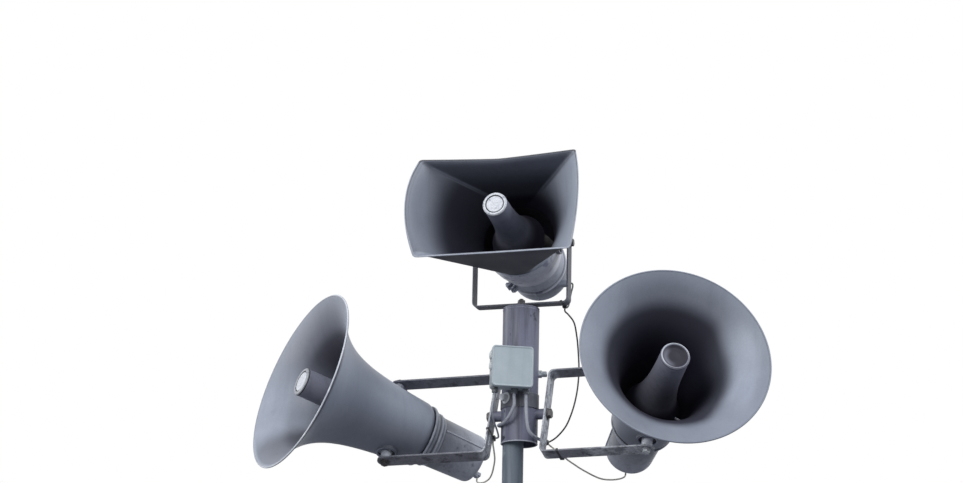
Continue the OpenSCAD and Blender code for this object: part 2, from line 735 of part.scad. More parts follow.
// The box's glands and grommets, in its own frame at half its body's depth
module box_glands() {
  for (x = gland_xs) translate([x, 0, -box_w/2 + lid_lap]) mirror([0, 0, 1]) {
    hex_head(gland_nut_d, gland_nut_h);
    translate([0, 0, gland_nut_h]) cylinder(d = gland_d, h = gland_h);
  }
  for (z = grommet_zs) translate([-box_w/2 + lid_lap, 0, z]) rotate([0, -90, 0]) {
    cylinder(d = grommet_d, h = grommet_t);
    translate([0, 0, grommet_t]) cylinder(d = grommet_bore, h = grommet_t);
  }
}

// Stud, lifting nut, washer and top nut that hold the top bracket on the cap
module top_stud() color(dark_bolt) top_frame() {
  translate([0, 0, -lift_nut_h]) {
    hex_head(lift_nut_d, lift_nut_h);
    cylinder(d = pivot_d, h = lift_nut_h + strap_t + washer_t + stud_nut_h + stud_end);
  }
  translate([0, 0, strap_t]) {
    cylinder(d = stud_washer_d, h = washer_t);
    translate([0, 0, washer_t]) hex_head(pivot_head_d, stud_nut_h);
  }
}

// Top bracket: a U-strap that stands on the cap
module top_bracket() color(dark_slate) top_frame() rotate([0, -90, 0])
  u_strap(top_gap, top_pivot_h, top_strap_w, pivot_d + hole_gap, pivot_d + hole_gap);

// The rectangular horn's flare, in front of its housing
module top_flare() color(slate) top_horn_frame() rect_flare();

// The rectangular horn's round housing
module top_housing() color(slate) top_horn_frame() top_pot();

// The rectangular horn's reflector, on the housing's floor
module top_reflector() color(slate) top_horn_frame()
  reflector(top_nose_r, rect_mouth_ahead - top_nose_back, rect_mouth_ahead - top_cup_back,
            -shoulder_behind + pot_floor_t, 0);

// The rectangular horn's driver cover with its cable entry
module top_driver() color(slate) top_horn_frame() {
  driver(top_seat_behind, top_driver_len, top_driver_r, top_driver_r - 4);
  translate([-top_entry_behind, -top_entry_drop, -top_entry_side] - [entry_w, entry_w, 0]/2)
    cube([entry_w, entry_w, 2*entry_w]);
}

// The rectangular horn's clamp band
module top_clamp_band() color(dark_slate) top_horn_frame() clamp_band();

// The pivot bolts of the rectangular horn
module top_pivot_bolts() color(dark_bolt) top_horn_frame() pivot_bolts(top_gap);

// A round horn's reflector, for either side
module side_reflector() {
  rear_x = mouth_ahead - reflector_len;
  wall_r = bell_r(reflector_len - 6) - sheet_t;
  reflector(nose_r, mouth_ahead - 2, rear_x, -bell_behind - 8, wall_r);
}

// The left bracket, and the pieces of the horn that it holds
module left_bracket() color(dark_slate) side_frame("left") side_bracket();

module left_bell() color(slate) side_horn_frame("left") round_bell();

module left_back_ring() color(slate) side_horn_frame("left") back_ring();

module left_reflector() color(slate) side_horn_frame("left") side_reflector();

module left_driver() color(slate) side_horn_frame("left") {
  driver(seat_behind, driver_len, driver_r, driver_end_r);
  side_entry();
}

module left_pivot_bolts() color(dark_bolt) side_horn_frame("left") pivot_bolts(side_gap);

// The right bracket, and the pieces of the horn that it holds
module right_bracket() color(dark_slate) side_frame("right") side_bracket();

module right_bell() color(slate) side_horn_frame("right") round_bell();

module right_back_ring() color(slate) side_horn_frame("right") back_ring();

module right_reflector() color(slate) side_horn_frame("right") side_reflector();

module right_driver() color(slate) side_horn_frame("right") {
  driver(seat_behind, driver_len, driver_r, driver_end_r);
  side_entry();
}

module right_pivot_bolts() color(dark_bolt) side_horn_frame("right") pivot_bolts(side_gap);

// A tie round a strap's leg with a clip that stands out past one edge
module leg_tie(w, z, way) {
  difference() {
    translate([-tie_t, -w/2 - tie_t, z - tie_w/2]) cube([strap_t + 2*tie_t, w + 2*tie_t, tie_w]);
    translate([0, -w/2, z - tie_w]) cube([strap_t, w, 2*tie_w]);
  }
  translate([-clip_proud, way*(w + clip_w)/2 - clip_w/2, z - clip_h/2])
    cube([strap_t + clip_proud + 1, clip_w, clip_h]);
}

// The tie of the top bracket, round its right leg
module top_tie() color(black) top_frame() rotate([0, -90, 0]) leg_tie(top_strap_w, -top_clip_x, 1);

// The tie of the left bracket, round its leg
module left_tie() color(black) side_frame("left") leg_tie(strap_w, left_clip_z, -1);

// A tie round the right bracket's lower arm with a clip behind the arm's rear edge
module right_tie() color(black) side_frame("right") {
  low = -side_gap/2 - strap_t;
  difference() {
    translate([right_clip_x - tie_w/2, -strap_w/2 - tie_t, low - tie_t])
      cube([tie_w, strap_w + 2*tie_t, strap_t + 2*tie_t]);
    translate([right_clip_x - tie_w, -strap_w/2, low]) cube([2*tie_w, strap_w, strap_t]);
  }
  translate([right_clip_x - clip_h/2, strap_w/2, low + 1])
    cube([clip_h, clip_w, strap_t + right_clip_rise - 1]);
}

// A vector's direction
function unit(v) = v/norm(v);

// Point of a smooth curve through a route, a share t of the way from its point i to the next
function route_point(p, i, t) =
  let (a = p[max(i - 1, 0)], b = p[i], c = p[i + 1], d = p[min(i + 2, len(p) - 1)])
  (2*b + (c - a)*t + (2*a - 5*b + 4*c - d)*t*t + (3*b - a - 3*c + d)*t*t*t)/2;

// A route's curve as points that lie about one step apart
function smooth_route(p, step) =
  [for (i = [0:len(p) - 2])
    let (n = max(1, round(norm(p[i + 1] - p[i])/step)))
    for (k = [0:n - 1]) route_point(p, i, k/n),
   p[len(p) - 1]];

// One normal for each of a curve's directions, carried along so that the tube doesn't twist
function carried(dirs, n, i = 0) =
  i == len(dirs) ? [] : let (m = unit(n - (n*dirs[i])*dirs[i])) concat([m], carried(dirs, m, i + 1));

// A lead: a round tube swept along its route, closed at both ends
module lead(route, d) {
  path = smooth_route(route, 3*d);
  last = len(path) - 1;
  dirs = [for (i = [0:last]) unit(path[min(i + 1, last)] - path[max(i - 1, 0)])];
  normals = carried(dirs, abs(dirs[0][2]) < 0.9 ? [0, 0, 1] : [1, 0, 0]);
  points = [for (i = [0:last], k = [0:lead_sides - 1])
    let (a = 360*k/lead_sides)
    path[i] + d/2*(cos(a)*normals[i] + sin(a)*cross(dirs[i], normals[i]))];
  walls = [for (i = [0:last - 1], k = [0:lead_sides - 1])
    let (a = i*lead_sides + k, b = i*lead_sides + (k + 1)%lead_sides)
    each [[a, a + lead_sides, b], [b, a + lead_sides, b + lead_sides]]];
  ends = [[for (k = [0:lead_sides - 1]) k],
          [for (k = [lead_sides - 1:-1:0]) last*lead_sides + k]];
  polyhedron(points, concat(walls, ends));
}

// The thick lead out of the box, up to the splitter
module lead_trunk() color(lead_grey) at_bolt() lead(trunk_route, trunk_d);

// Where the trunk parts into the leads of the top and the right horn
module lead_splitter() color(black) at_bolt()
  translate(trunk_route[len(trunk_route) - 1]) rotate([-90, 0, 0])
    cylinder(d1 = trunk_d + 3, d2 = trunk_d + 7, h = splitter_len);

// The leads of the top horn: on the mast, then on the bracket
module lead_top() color(black) at_bolt() lead(top_route, tail_d);

module lead_top_tail() color(black) top_frame() lead(top_tail_route, tail_d);

// The leads of the right horn: on the mast, then on the bracket
module lead_right() color(lead_grey) at_bolt() lead(right_route, tail_d);

module lead_right_tail() color(lead_grey) side_frame("right") lead(right_tail_route, tail_d);

// The leads of the left horn: on the mast, then on the bracket
module lead_left() color(lead_grey) at_bolt() lead(left_route, lead_d);

module lead_left_tail() color(lead_grey) side_frame("left") lead(left_tail_route, tail_d);

// The lead from the box to the entry on the sleeve's rear
module lead_feed() color(lead_grey) at_bolt() lead(feed_route, trunk_d);

base_plate();
base_gussets();
mast_pipe();
head_sleeve();
sleeve_cap();
pipe_set_bolt();
bracket_bolt();
bolt_spacers();
box_band();
junction_box();
box_lid();
cable_glands();
top_stud();
top_bracket();
top_flare();
top_housing();
top_reflector();
top_driver();
top_clamp_band();
top_pivot_bolts();
left_bracket();
left_bell();
left_back_ring();
left_reflector();
left_driver();
left_pivot_bolts();
right_bracket();
right_bell();
right_back_ring();
right_reflector();
right_driver();
right_pivot_bolts();
top_tie();
left_tie();
right_tie();
lead_trunk();
lead_splitter();
lead_top();
lead_top_tail();
lead_right();
lead_right_tail();
lead_left();
lead_left_tail();
lead_feed();
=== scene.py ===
"""Looks of the siren mast: three weathered horns on a slim pipe, seen from below.

Sizes are millimetres, turned to metres when a mesh is made. The forms repeat the sizes of the
CAD part, so that each surface lies on the solid that it stands for.
"""
import json
import math

import bpy
import numpy as np
from mathutils import Matrix


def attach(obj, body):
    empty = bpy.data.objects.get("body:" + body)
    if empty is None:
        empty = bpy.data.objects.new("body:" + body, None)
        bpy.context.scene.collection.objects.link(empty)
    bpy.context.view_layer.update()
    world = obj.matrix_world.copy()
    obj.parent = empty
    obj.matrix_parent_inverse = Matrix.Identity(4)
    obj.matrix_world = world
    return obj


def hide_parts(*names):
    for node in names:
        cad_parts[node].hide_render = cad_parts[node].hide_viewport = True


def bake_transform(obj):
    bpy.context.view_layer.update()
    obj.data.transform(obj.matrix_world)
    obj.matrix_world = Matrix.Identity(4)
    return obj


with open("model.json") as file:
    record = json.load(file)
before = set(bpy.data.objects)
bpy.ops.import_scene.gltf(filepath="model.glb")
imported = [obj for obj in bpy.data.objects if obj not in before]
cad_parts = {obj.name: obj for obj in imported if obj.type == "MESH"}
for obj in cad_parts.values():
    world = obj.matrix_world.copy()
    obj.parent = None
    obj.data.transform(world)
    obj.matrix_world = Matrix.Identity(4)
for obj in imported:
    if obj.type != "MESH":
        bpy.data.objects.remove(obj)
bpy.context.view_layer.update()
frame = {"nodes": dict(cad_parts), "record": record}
NODES = frame["nodes"]

# ---------------------------------------------------------------- sizes of the part
SLEEVE_X, BOLT_Z, STRAP_SEAT_Z = 15.45, 2600.0, 2872.0
SLEEVE_R, SLEEVE_BOTTOM, SLEEVE_TOP = 44.45, 2528.0, 2859.0
PIPE_R, BASE_T = 25.5, 10.0
SIDE_LEG_X, SIDE_ARM, SIDE_GAP = 67.0, 262.0, 220.0
LEAN = {"left": 22.0, "right": 17.5}
TURN = {"left": 49.0, "right": -61.5}
TOP_PIVOT_H, TOP_TURN, TOP_TILT, TOP_GAP = 154.0, 3.0, 8.0, 234.0
SHEET = 2.5
MOUTH_R, MOUTH_AHEAD, BELL_BEHIND = 226.0, 261.0, 80.0
BELL_END_R, BELL_SLOPE, FLARE_FADE, BELL_LEN = 78.0, 0.075, 62.0, MOUTH_AHEAD + BELL_BEHIND
SEAT_BEHIND, DRIVER_LEN, DRIVER_R, DRIVER_END_R = 110.0, 131.0, 65.0, 59.0
NOSE_R, TOP_NOSE_R, REFLECTOR_R, REFLECTOR_LEN, ARM_R, CUP_WALL = 33.0, 28.0, 66.0, 250.0, 24.0, 3.0
RECT_W, RECT_H, RECT_DEPTH, RECT_SEAM, RECT_MOUTH = 377.0, 245.0, 224.0, 30.0, 254.0
POT_R, SHOULDER, TOP_SEAT, TOP_DRIVER_LEN, TOP_DRIVER_R = 92.0, 72.0, 129.0, 60.0, 76.0
NECK_R = TOP_DRIVER_R - 4
SIDE_BOW, MOUTH_BOW, FLAT_BOW = 21.0, 30.0, 13.0
PAD_R, DISH_R, BOSS_R, SLIDE_GAP = 27.0, 22.0, 13.0, 0.3
ENTRY_W, ENTRY_REACH, ENTRY_DROP = 16.0, 20.0, 46.0
TOP_ENTRY_BEHIND, TOP_ENTRY_DROP, TOP_ENTRY_SIDE = 142.0, 45.0, TOP_DRIVER_R + 8
BOX_W, BOX_DEPTH, LID_T, BOX_Z, BOX_TURN, BOX_SHIFT = 100.0, 52.0, 14.0, 98.0, 29.0, 35.0

DUST = (0.42, 0.43, 0.43)
SHADED_INSIDE_TONE = 0.70  # the share of the outer paint's lightness that the paint inside a horn keeps under painted shade


# ---------------------------------------------------------------- frames and objects
def move(x, y, z):
    m = np.eye(4)
    m[:3, 3] = x, y, z
    return m


def turn(axis, degrees):
    """Right-handed turn about one of the axes X, Y, Z."""
    c, s = math.cos(math.radians(degrees)), math.sin(math.radians(degrees))
    m = np.eye(4)
    i, j = {"x": (1, 2), "y": (2, 0), "z": (0, 1)}[axis]
    m[i, i], m[i, j], m[j, i], m[j, j] = c, -s, s, c
    return m


def moved(points, m):
    """Points taken into a frame."""
    return np.asarray(points, float) @ m[:3, :3].T + m[:3, 3]


def add(name, data):
    """A new object in the scene."""
    ob = bpy.data.objects.new(name, data)
    bpy.context.scene.collection.objects.link(ob)
    return ob


AT_BOLT = move(SLEEVE_X, 0, BOLT_Z)
SIDE = {s: AT_BOLT @ turn("x", -LEAN[s]) @ turn("z", 180 if s == "left" else 0) @ move(SIDE_LEG_X, 0, 0)
        for s in ("left", "right")}
HORN = {s: SIDE[s] @ move(SIDE_ARM, 0, 0) @ turn("z", TURN[s]) for s in ("left", "right")}
TOP = move(SLEEVE_X, 0, STRAP_SEAT_Z) @ turn("z", TOP_TURN)
HORN["top"] = TOP @ move(0, 0, TOP_PIVOT_H) @ turn("x", -TOP_TILT) @ turn("z", -90) @ turn("x", 90)


# ---------------------------------------------------------------- camera, first of all
def place_camera():
    """A long lens about 7.3 m from the mast and 1.6 m below the side bolt, 19 degrees to the right."""
    around, away, drop = math.radians(18.88), 7.2751, 1.6365
    yaw, pitch, roll = (math.radians(a) for a in (-0.79, 15.89, 1.15))
    ahead = np.array([math.sin(yaw) * math.cos(pitch), math.cos(yaw) * math.cos(pitch), math.sin(pitch)])
    right = np.array([math.cos(yaw), -math.sin(yaw), 0.0])
    up = np.cross(right, ahead)
    right, up = right * math.cos(roll) + up * math.sin(roll), up * math.cos(roll) - right * math.sin(roll)
    spin = turn("z", 18.88)[:3, :3]
    m = np.eye(4)
    m[:3, 0], m[:3, 1], m[:3, 2] = spin @ right, spin @ up, -(spin @ ahead)
    m[:3, 3] = (SLEEVE_X / 1000 + away * math.sin(around), -away * math.cos(around), BOLT_Z / 1000 - drop)
    lens = bpy.data.cameras.new("camera")
    lens.sensor_fit, lens.sensor_width, lens.lens = "HORIZONTAL", 36.0, 115.32
    lens.clip_end = 100
    camera = add("camera", lens)
    camera.matrix_world = Matrix(m.tolist())
    bpy.context.scene.camera = camera


place_camera()


# ---------------------------------------------------------------- surfaces
def grid_faces(rows, columns, close_rows=False, close_columns=True):
    """Quads over a grid of points, as one array: row by row, closed round either way if asked."""
    r = np.arange(rows if close_rows else rows - 1)[:, None]
    c = np.arange(columns if close_columns else columns - 1)[None, :]
    r2, c2 = (r + 1) % rows, (c + 1) % columns
    return np.stack([r * columns + c, r * columns + c2, r2 * columns + c2, r2 * columns + c], -1).reshape(-1, 4)


def round_about(n):
    """n even angles round a circle."""
    return np.arange(n) * 2 * math.pi / n


def fan(ring, middle):
    """The faces that join a ring of points to one point, as quads that name it twice."""
    hub = np.full(len(ring), middle)
    return np.stack([ring, np.roll(ring, -1), hub, hub], -1)


def rounded(points, radius, steps=5):
    """An open profile with each corner cut back by radius, or by 0.45 of the shorter side, and bridged by
    the quadratic curve that leaves one side and enters the next along them."""
    p = np.array(points, float)
    a, b = np.roll(p, 1, 0) - p, np.roll(p, -1, 0) - p
    la, lb = np.linalg.norm(a, axis=1), np.linalg.norm(b, axis=1)
    cut = np.minimum(radius, 0.45 * np.minimum(la, lb))[:, None]
    start, end = p + a / np.maximum(la, 1e-9)[:, None] * cut, p + b / np.maximum(lb, 1e-9)[:, None] * cut
    t = np.linspace(0, 1, steps + 1)[None, :, None]
    curve = (1 - t) ** 2 * start[:, None] + 2 * t * (1 - t) * p[:, None] + t ** 2 * end[:, None]
    curve[0], curve[-1] = p[0], p[-1]
    out = curve.reshape(-1, p.shape[1])
    keep = np.r_[True, np.linalg.norm(np.diff(out, axis=0), axis=1) > 1e-6]
    return out[keep]


def revolved(profile, around=128, along="x", lobes=0.0):
    """A profile of (place on the axis, radius) turned round the axis. A radius of 0.02 mm, the least that
    is taken, stands for a pole. lobes lets the radius breathe by that share, as spun sheet does."""
    p = np.array(profile, float)
    angle = round_about(around)
    breath = 1 + lobes * np.sin(3 * angle + 0.7) + 0.6 * lobes * np.sin(5 * angle)
    r = np.maximum(p[:, 1:], 0.02) * breath
    a = np.broadcast_to(p[:, :1], r.shape)
    c, s = r * np.cos(angle), r * np.sin(angle)
    xyz = {"x": (a, c, s), "z": (c, s, a)}[along]
    return np.stack(xyz, -1).reshape(-1, 3), grid_faces(len(p), around)


def closed_ring(profile, around=128, along="x", lobes=0.0):
    """A closed profile turned round the axis into a ring-shaped skin."""
    v, _ = revolved(profile, around, along, lobes)
    return v, grid_faces(len(profile), around, close_rows=True)


def torus(at, radius, tube, around=160, sides=20, along="x"):
    """A round wire of radius tube in a circle about the axis at a place on it."""
    a = round_about(sides)
    return closed_ring(np.stack([at + tube * np.sin(a), radius + tube * np.cos(a)], -1), around, along)


def sweep(path, radius, sides):
    """A round tube with closed ends along a path: each ring lies square to the path's direction, on two
    axes carried along without twist."""
    path = np.asarray(path, float)
    way = np.gradient(path, axis=0)
    way /= np.linalg.norm(way, axis=1)[:, None]
    first = np.cross(way[0], [0.31, 0.17, 0.93])
    side = np.empty_like(way)
    side[0] = first / np.linalg.norm(first)
    for i in range(1, len(way)):
        s = side[i - 1] - way[i] * (side[i - 1] @ way[i])
        side[i] = s / np.linalg.norm(s)
    other = np.cross(way, side)
    a = round_about(sides)[None, :, None]
    ring = path[:, None] + radius * (side[:, None] * np.cos(a) + other[:, None] * np.sin(a))
    v = np.vstack([ring.reshape(-1, 3), path[:1], path[-1:]])
    k, total = np.arange(sides), len(path) * sides
    return v, np.vstack([grid_faces(len(path), sides), fan(k, total)[:, ::-1], fan(total - sides + k, total + 1)])


def smooth_path(points, step):
    """The centripetal curve through the points, then walked at even steps."""
    p = np.array(points, float)
    p = np.vstack([2 * p[0] - p[1], p, 2 * p[-1] - p[-2]])
    t = np.r_[0, np.cumsum(np.sqrt(np.linalg.norm(np.diff(p, axis=0), axis=1)))]
    out = []
    for i in range(1, len(p) - 2):
        u = np.linspace(t[i], t[i + 1], 24, endpoint=False)[:, None]
        mix = lambda a, b, j, k: ((t[k] - u) * a + (u - t[j]) * b) / (t[k] - t[j])
        a1, a2, a3 = (mix(p[j], p[j + 1], j, j + 1) for j in (i - 1, i, i + 1))
        b1, b2 = mix(a1, a2, i - 1, i + 1), mix(a2, a3, i, i + 2)
        out.append(mix(b1, b2, i, i + 1))
    q = np.vstack(out + [p[-2:-1]])
    s = np.r_[0, np.cumsum(np.linalg.norm(np.diff(q, axis=0), axis=1))]
    w = np.linspace(0, s[-1], max(8, int(s[-1] / step)))
    return np.stack([np.interp(w, s, q[:, k]) for k in range(3)], -1)


def slab(low, high, soft):
    """A block with rounded edges: a cube's faces as 12 by 12 grids, each point pulled onto the rounded
    box by clamping it to the inner box and stepping out by soft along what is left."""
    low, high, n = np.array(low, float), np.array(high, float), 12
    half, mid = (high - low) / 2, (high + low) / 2
    u, w = np.meshgrid(np.linspace(-1, 1, n), np.linspace(-1, 1, n), indexing="ij")
    v, f = [], []
    for i in range(6):
        k, sign = i // 2, 1 - 2 * (i % 2)
        p = half * np.stack(np.roll([np.full_like(u, sign), sign * u, w], k, 0), -1).reshape(-1, 3)
        q = np.clip(p, soft - half, half - soft)
        v.append(mid + q + soft * (p - q) / np.maximum(np.linalg.norm(p - q, axis=1), 1e-9)[:, None])
        f.append(grid_faces(n, n, close_columns=False)[:, ::-1] + i * n * n)
    return np.vstack(v), np.vstack(f)


def stack(levels):
    """Round-cornered squares laid over each other and capped by fans; a level is (width, corner, height)."""
    rings = []
    for width, corner, height in levels:
        p = round_square(width, corner)
        rings.append(np.column_stack([p, np.full(len(p), height)]))
    n = len(rings[0])
    v = np.vstack(rings + [rings[0].mean(0)[None], rings[-1].mean(0)[None]])
    k, total = np.arange(n), n * len(rings)
    return v, np.vstack([grid_faces(len(rings), n), fan(k, total)[:, ::-1], fan(total - n + k, total + 1)])


def round_square(width, corner, steps=9):
    """Outline of a square with round corners, anticlockwise."""
    a = np.linspace(0, math.pi / 2, steps)
    p = width / 2 - corner + corner * np.stack([np.cos(a), np.sin(a)], -1)
    return np.vstack([p, p[::-1] * [-1, 1], -p, p[::-1] * [1, -1]])


def bead(radius, height, tube, ripples):
    """A weld bead round the mast: a torus whose tube swells and sinks by an eighth at each ripple."""
    a, s = round_about(288)[:, None], round_about(10)
    swell = tube * (1 + 0.12 * np.sin(ripples * a) + 0.06 * np.sin(7 * a + 1))
    r = radius + swell * np.cos(s)
    v = np.stack([r * np.cos(a), r * np.sin(a), height + swell * np.sin(s)], -1)
    return v.reshape(-1, 3), grid_faces(288, 10, close_rows=True)


def volume(v, f):
    """Six times what a closed skin encloses, negative where its faces look inwards."""
    a, b, c, d = (v[f[:, k]] for k in range(4))
    six = lambda p, q, r: np.einsum("ij,ij->i", p, np.cross(q, r)).sum()
    return six(a, b, c) + six(a, c, d)


def ease(x, low, high):
    """0 below low, 1 above high, smoothly between."""
    t = np.clip((np.asarray(x, float) - low) / (high - low), 0, 1)
    return t * t * (3 - 2 * t)


def make(name, shells, place, body, slot, stands_for=(), sharp=32, look=None):
    """One mesh object from closed skins, each turned to face outwards, put in place and in metres. A
    skin's third item gives each point's painted shade, from 0 to 1, as in a horn's throat or a crevice."""
    vs, fs, ds, base = [], [], [], 0
    for v, f, *d in shells:
        v, f = np.asarray(v, float), np.asarray(f)
        if volume(v, f) < 0:
            f = f[:, ::-1]
        vs.append(v), fs.append(f + base), ds.append(d[0] if d else np.zeros(len(v)))
        base += len(v)
    v, f, d = np.vstack(vs), np.vstack(fs), np.concatenate(ds)
    v = moved(v, place) / 1000
    keep = f != np.roll(f, 1, 1)
    counts = keep.sum(1)
    good = counts > 2
    f, keep, counts = f[good], keep[good], counts[good]
    me = bpy.data.meshes.new(name)
    me.vertices.add(len(v))
    me.vertices.foreach_set("co", v.astype(np.float32).ravel())
    loops = f[keep]
    me.loops.add(len(loops))
    me.loops.foreach_set("vertex_index", loops.astype(np.int32))
    me.polygons.add(len(f))
    me.polygons.foreach_set("loop_start", np.r_[0, np.cumsum(counts)[:-1]].astype(np.int32))
    me.update(calc_edges=True)
    me.validate()
    # each point's painted shade, from 0 to 1, kept as an attribute that the finishes read
    me.attributes.new("painted_shade", "FLOAT", "POINT").data.foreach_set("value", d.astype(np.float32))
    me.shade_smooth()
    me.set_sharp_from_angle(angle=math.radians(sharp))
    ob = add(name, me)
    if body:
        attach(ob, body)
    if stands_for:
        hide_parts(*stands_for)
    me.materials.append(FINISH[look or slot])
    return ob


# ---------------------------------------------------------------- finishes
def node(tree, kind, inputs=(), **settings):
    """A new shader node with its settings. Its inputs go by name or number, and each is a number, a
    vector, a colour or another node's output."""
    n = tree.nodes.new("ShaderNode" + kind)
    for key, x in settings.items():
        setattr(n, key, x)
    for key, x in dict(inputs).items():
        if isinstance(x, bpy.types.NodeSocket):
            tree.links.new(x, n.inputs[key])
        else:
            n.inputs[key].default_value = (*x, 1) if n.inputs[key].type == "RGBA" else x
    return n


def number(tree, op, a, b=0.0, clamp=False):
    """One step of arithmetic; a and b are numbers or outputs."""
    return node(tree, "Math", {0: a, 1: b}, operation=op, use_clamp=clamp).outputs[0]


def times(tree, a, b):
    """A product of numbers or outputs."""
    return number(tree, "MULTIPLY", a, b)


def noise(tree, at, scale, detail=3.0, rough=0.5, stretch=None):
    """Cloudy noise from 0 to 1, stretched along the axes if asked."""
    if stretch:
        at = node(tree, "Mapping", {"Scale": stretch, "Vector": at}).outputs[0]
    inputs = {"Scale": scale, "Detail": detail, "Roughness": rough, "Vector": at}
    return node(tree, "TexNoise", inputs).outputs["Fac"]


def ramp(tree, value, low, high, to_low=0.0, to_high=1.0):
    """Smoothly from to_low at low to to_high at high."""
    inputs = {"Value": value, "From Min": low, "From Max": high, "To Min": to_low, "To Max": to_high}
    return node(tree, "MapRange", inputs, interpolation_type="SMOOTHSTEP").outputs["Result"]


def tint(tree, mask, under, over):
    """Colour under where the mask is 0, over where it is 1; each a colour or an output."""
    return node(tree, "Mix", {"Factor": mask, 6: under, 7: over}, data_type="RGBA").outputs[2]


def build_weather():
    """Shared ageing: cloudy blotches, drip streaks that run down, fine speckle, dust on what faces up,
    rub, which is 1 along outer edges where the rounded normal parts from the true one, and that
    rounded normal itself."""
    g = bpy.data.node_groups.new("weather", "ShaderNodeTree")
    for name in ("Blotch", "Streak", "Speckle", "Dust", "Rub"):
        g.interface.new_socket(name=name, in_out="OUTPUT", socket_type="NodeSocketFloat")
    g.interface.new_socket(name="Soft", in_out="OUTPUT", socket_type="NodeSocketVector")
    at = node(g, "TexCoord").outputs["Object"]
    face = node(g, "NewGeometry").outputs["Normal"]
    soft = node(g, "Bevel", {"Radius": 0.0014}, samples=4).outputs[0]
    up = node(g, "SeparateXYZ", {0: face}).outputs["Z"]
    same = node(g, "VectorMath", {0: soft, 1: face}, operation="DOT_PRODUCT").outputs["Value"]
    edge = number(g, "ADD", number(g, "SUBTRACT", 1.0, same), times(g, noise(g, at, 120.0, 4), 0.08))
    out = g.nodes.new("NodeGroupOutput")
    for key, x in (("Blotch", ramp(g, noise(g, at, 7.0, 4, 0.55), 0.34, 0.68)),
                   ("Streak", ramp(g, noise(g, at, 60.0, 4, 0.6, (1, 1, 0.07)), 0.46, 0.72)),
                   ("Speckle", noise(g, at, 260.0, 3, 0.6)),
                   ("Dust", times(g, ramp(g, up, 0.2, 0.95), ramp(g, noise(g, at, 22.0, 4), 0.3, 0.7))),
                   ("Rub", ramp(g, edge, 0.06, 0.13)), ("Soft", soft)):
        g.links.new(x, out.inputs[key])
    return g


WEATHER = build_weather()


def close_to(point, radius):
    """A mask that is 1 within a radius of a point of the object's own space."""
    def mask(t, at):
        gap = node(t, "VectorMath", {0: at, 1: tuple(point)}, operation="DISTANCE").outputs["Value"]
        return ramp(t, gap, radius * 0.88, radius, 1.0, 0.0)
    return mask


def bracket_legs(t, at):
    """A mask of worn zinc on the side brackets' legs: broken patches within 80 mm of the sleeve's axis."""
    x = node(t, "SeparateXYZ", {0: at}).outputs["X"]
    off = number(t, "ABSOLUTE", number(t, "SUBTRACT", x, SLEEVE_X / 1000))
    patchy = ramp(t, noise(t, at, 55.0, 6, 0.72), 0.38, 0.54)
    return times(t, ramp(t, off, 0.074, 0.092, 1.0, 0.0), patchy)


def sleeve_sheen_and_wear(t, at):
    """A mask of a pale strip, 7 mm wide, down the front of the sleeve, left of its middle, with broken
    edges: a painted highlight, and partly wear."""
    part = node(t, "SeparateXYZ", {0: at}).outputs
    across = number(t, "ADD", part["X"], times(t, noise(t, at, 16.0, 3, 0.5, (1, 1, 0.3)), 0.006))
    strip = times(t, ramp(t, across, -0.0115, -0.0095), ramp(t, across, -0.0045, -0.0025, 1.0, 0.0))
    return times(t, times(t, strip, ramp(t, part["Y"], -0.002, 0.0, 1.0, 0.0)), 0.8)


def arm_highlight(t, at):
    """A mask of painted highlight patches on the lower right arm, within 160 mm of its pivot."""
    patchy = ramp(t, noise(t, at, 48.0, 5, 0.7), 0.36, 0.6)
    return times(t, close_to(right_pivot, 0.16)(t, at), patchy)


def cloud(scale, level, width=0.09, stretch=None):
    """A mask of clouds that cover what lies above a level of the noise."""
    return lambda t, at: ramp(t, noise(t, at, scale, 5, 0.62, stretch), level, level + width)


def finish(name, base, shade, light, rough, streak, dust, metallic=0.0, rub=None, rub_amount=0.0, painted_shade=None,
           speckle=0.06, coat=0.0, patches=(), shine=0.5):
    """A weathered finish: base broken by shade and light blotches and streaks, patches of other colours
    by their masks, dust on what faces up, an inner metal where edges are rubbed, and painted shade,
    towards its own dark colour, where the piece's painted shade value rises."""
    m = bpy.data.materials.new(name)
    m.use_nodes = True
    t = m.node_tree
    t.nodes.clear()
    w = node(t, "Group", node_tree=WEATHER).outputs
    at = node(t, "TexCoord").outputs["Object"]
    colour = tint(t, w["Blotch"], base, light)
    for mask, over in patches:
        colour = tint(t, mask(t, at), colour, over)
    colour = tint(t, times(t, w["Streak"], streak), colour, shade)
    colour = tint(t, ramp(t, w["Speckle"], 0.35, 0.65, 0.0, speckle * 2), colour, shade)
    colour = tint(t, times(t, w["Dust"], dust), colour, DUST)
    if rub:
        colour = tint(t, times(t, w["Rub"], rub_amount), colour, rub)
    # painted shade: darker towards the given colour by the piece's painted shade attribute
    if painted_shade:
        colour = tint(t, node(t, "Attribute", attribute_name="painted_shade").outputs["Fac"], colour, painted_shade)
    grain = number(t, "ADD", w["Speckle"], times(t, noise(t, at, 30.0, 3), 2.0))
    bumps = node(t, "Bump", {"Strength": 0.5, "Distance": 0.0002, "Height": grain, "Normal": w["Soft"]})
    inputs = {"Base Color": colour, "Roughness": ramp(t, w["Blotch"], 0.0, 1.0, rough, min(1.0, rough + 0.12)),
              "Metallic": metallic, "Specular IOR Level": shine, "Normal": bumps.outputs[0]}
    if coat:
        inputs.update({"Coat Weight": coat, "Coat Roughness": 0.35})
    node(t, "OutputMaterial", {"Surface": node(t, "BsdfPrincipled", inputs).outputs[0]})
    return m


BOX = move(SLEEVE_X, 0, BOLT_Z + BOX_Z) @ turn("z", BOX_TURN)
BAND = BOX @ move(0, 0, 2 - BOX_W / 2 - 37) @ turn("z", 210)
band_nut = moved([SLEEVE_R + 7, 0, 23.8], BAND) / 1000
grommets = moved([[-BOX_SHIFT - BOX_W / 2, -SLEEVE_R - 20, z] for z in (4, 30)], BOX) / 1000
right_pivot = moved([SIDE_ARM, 0, -SIDE_GAP / 2], SIDE["right"]) / 1000
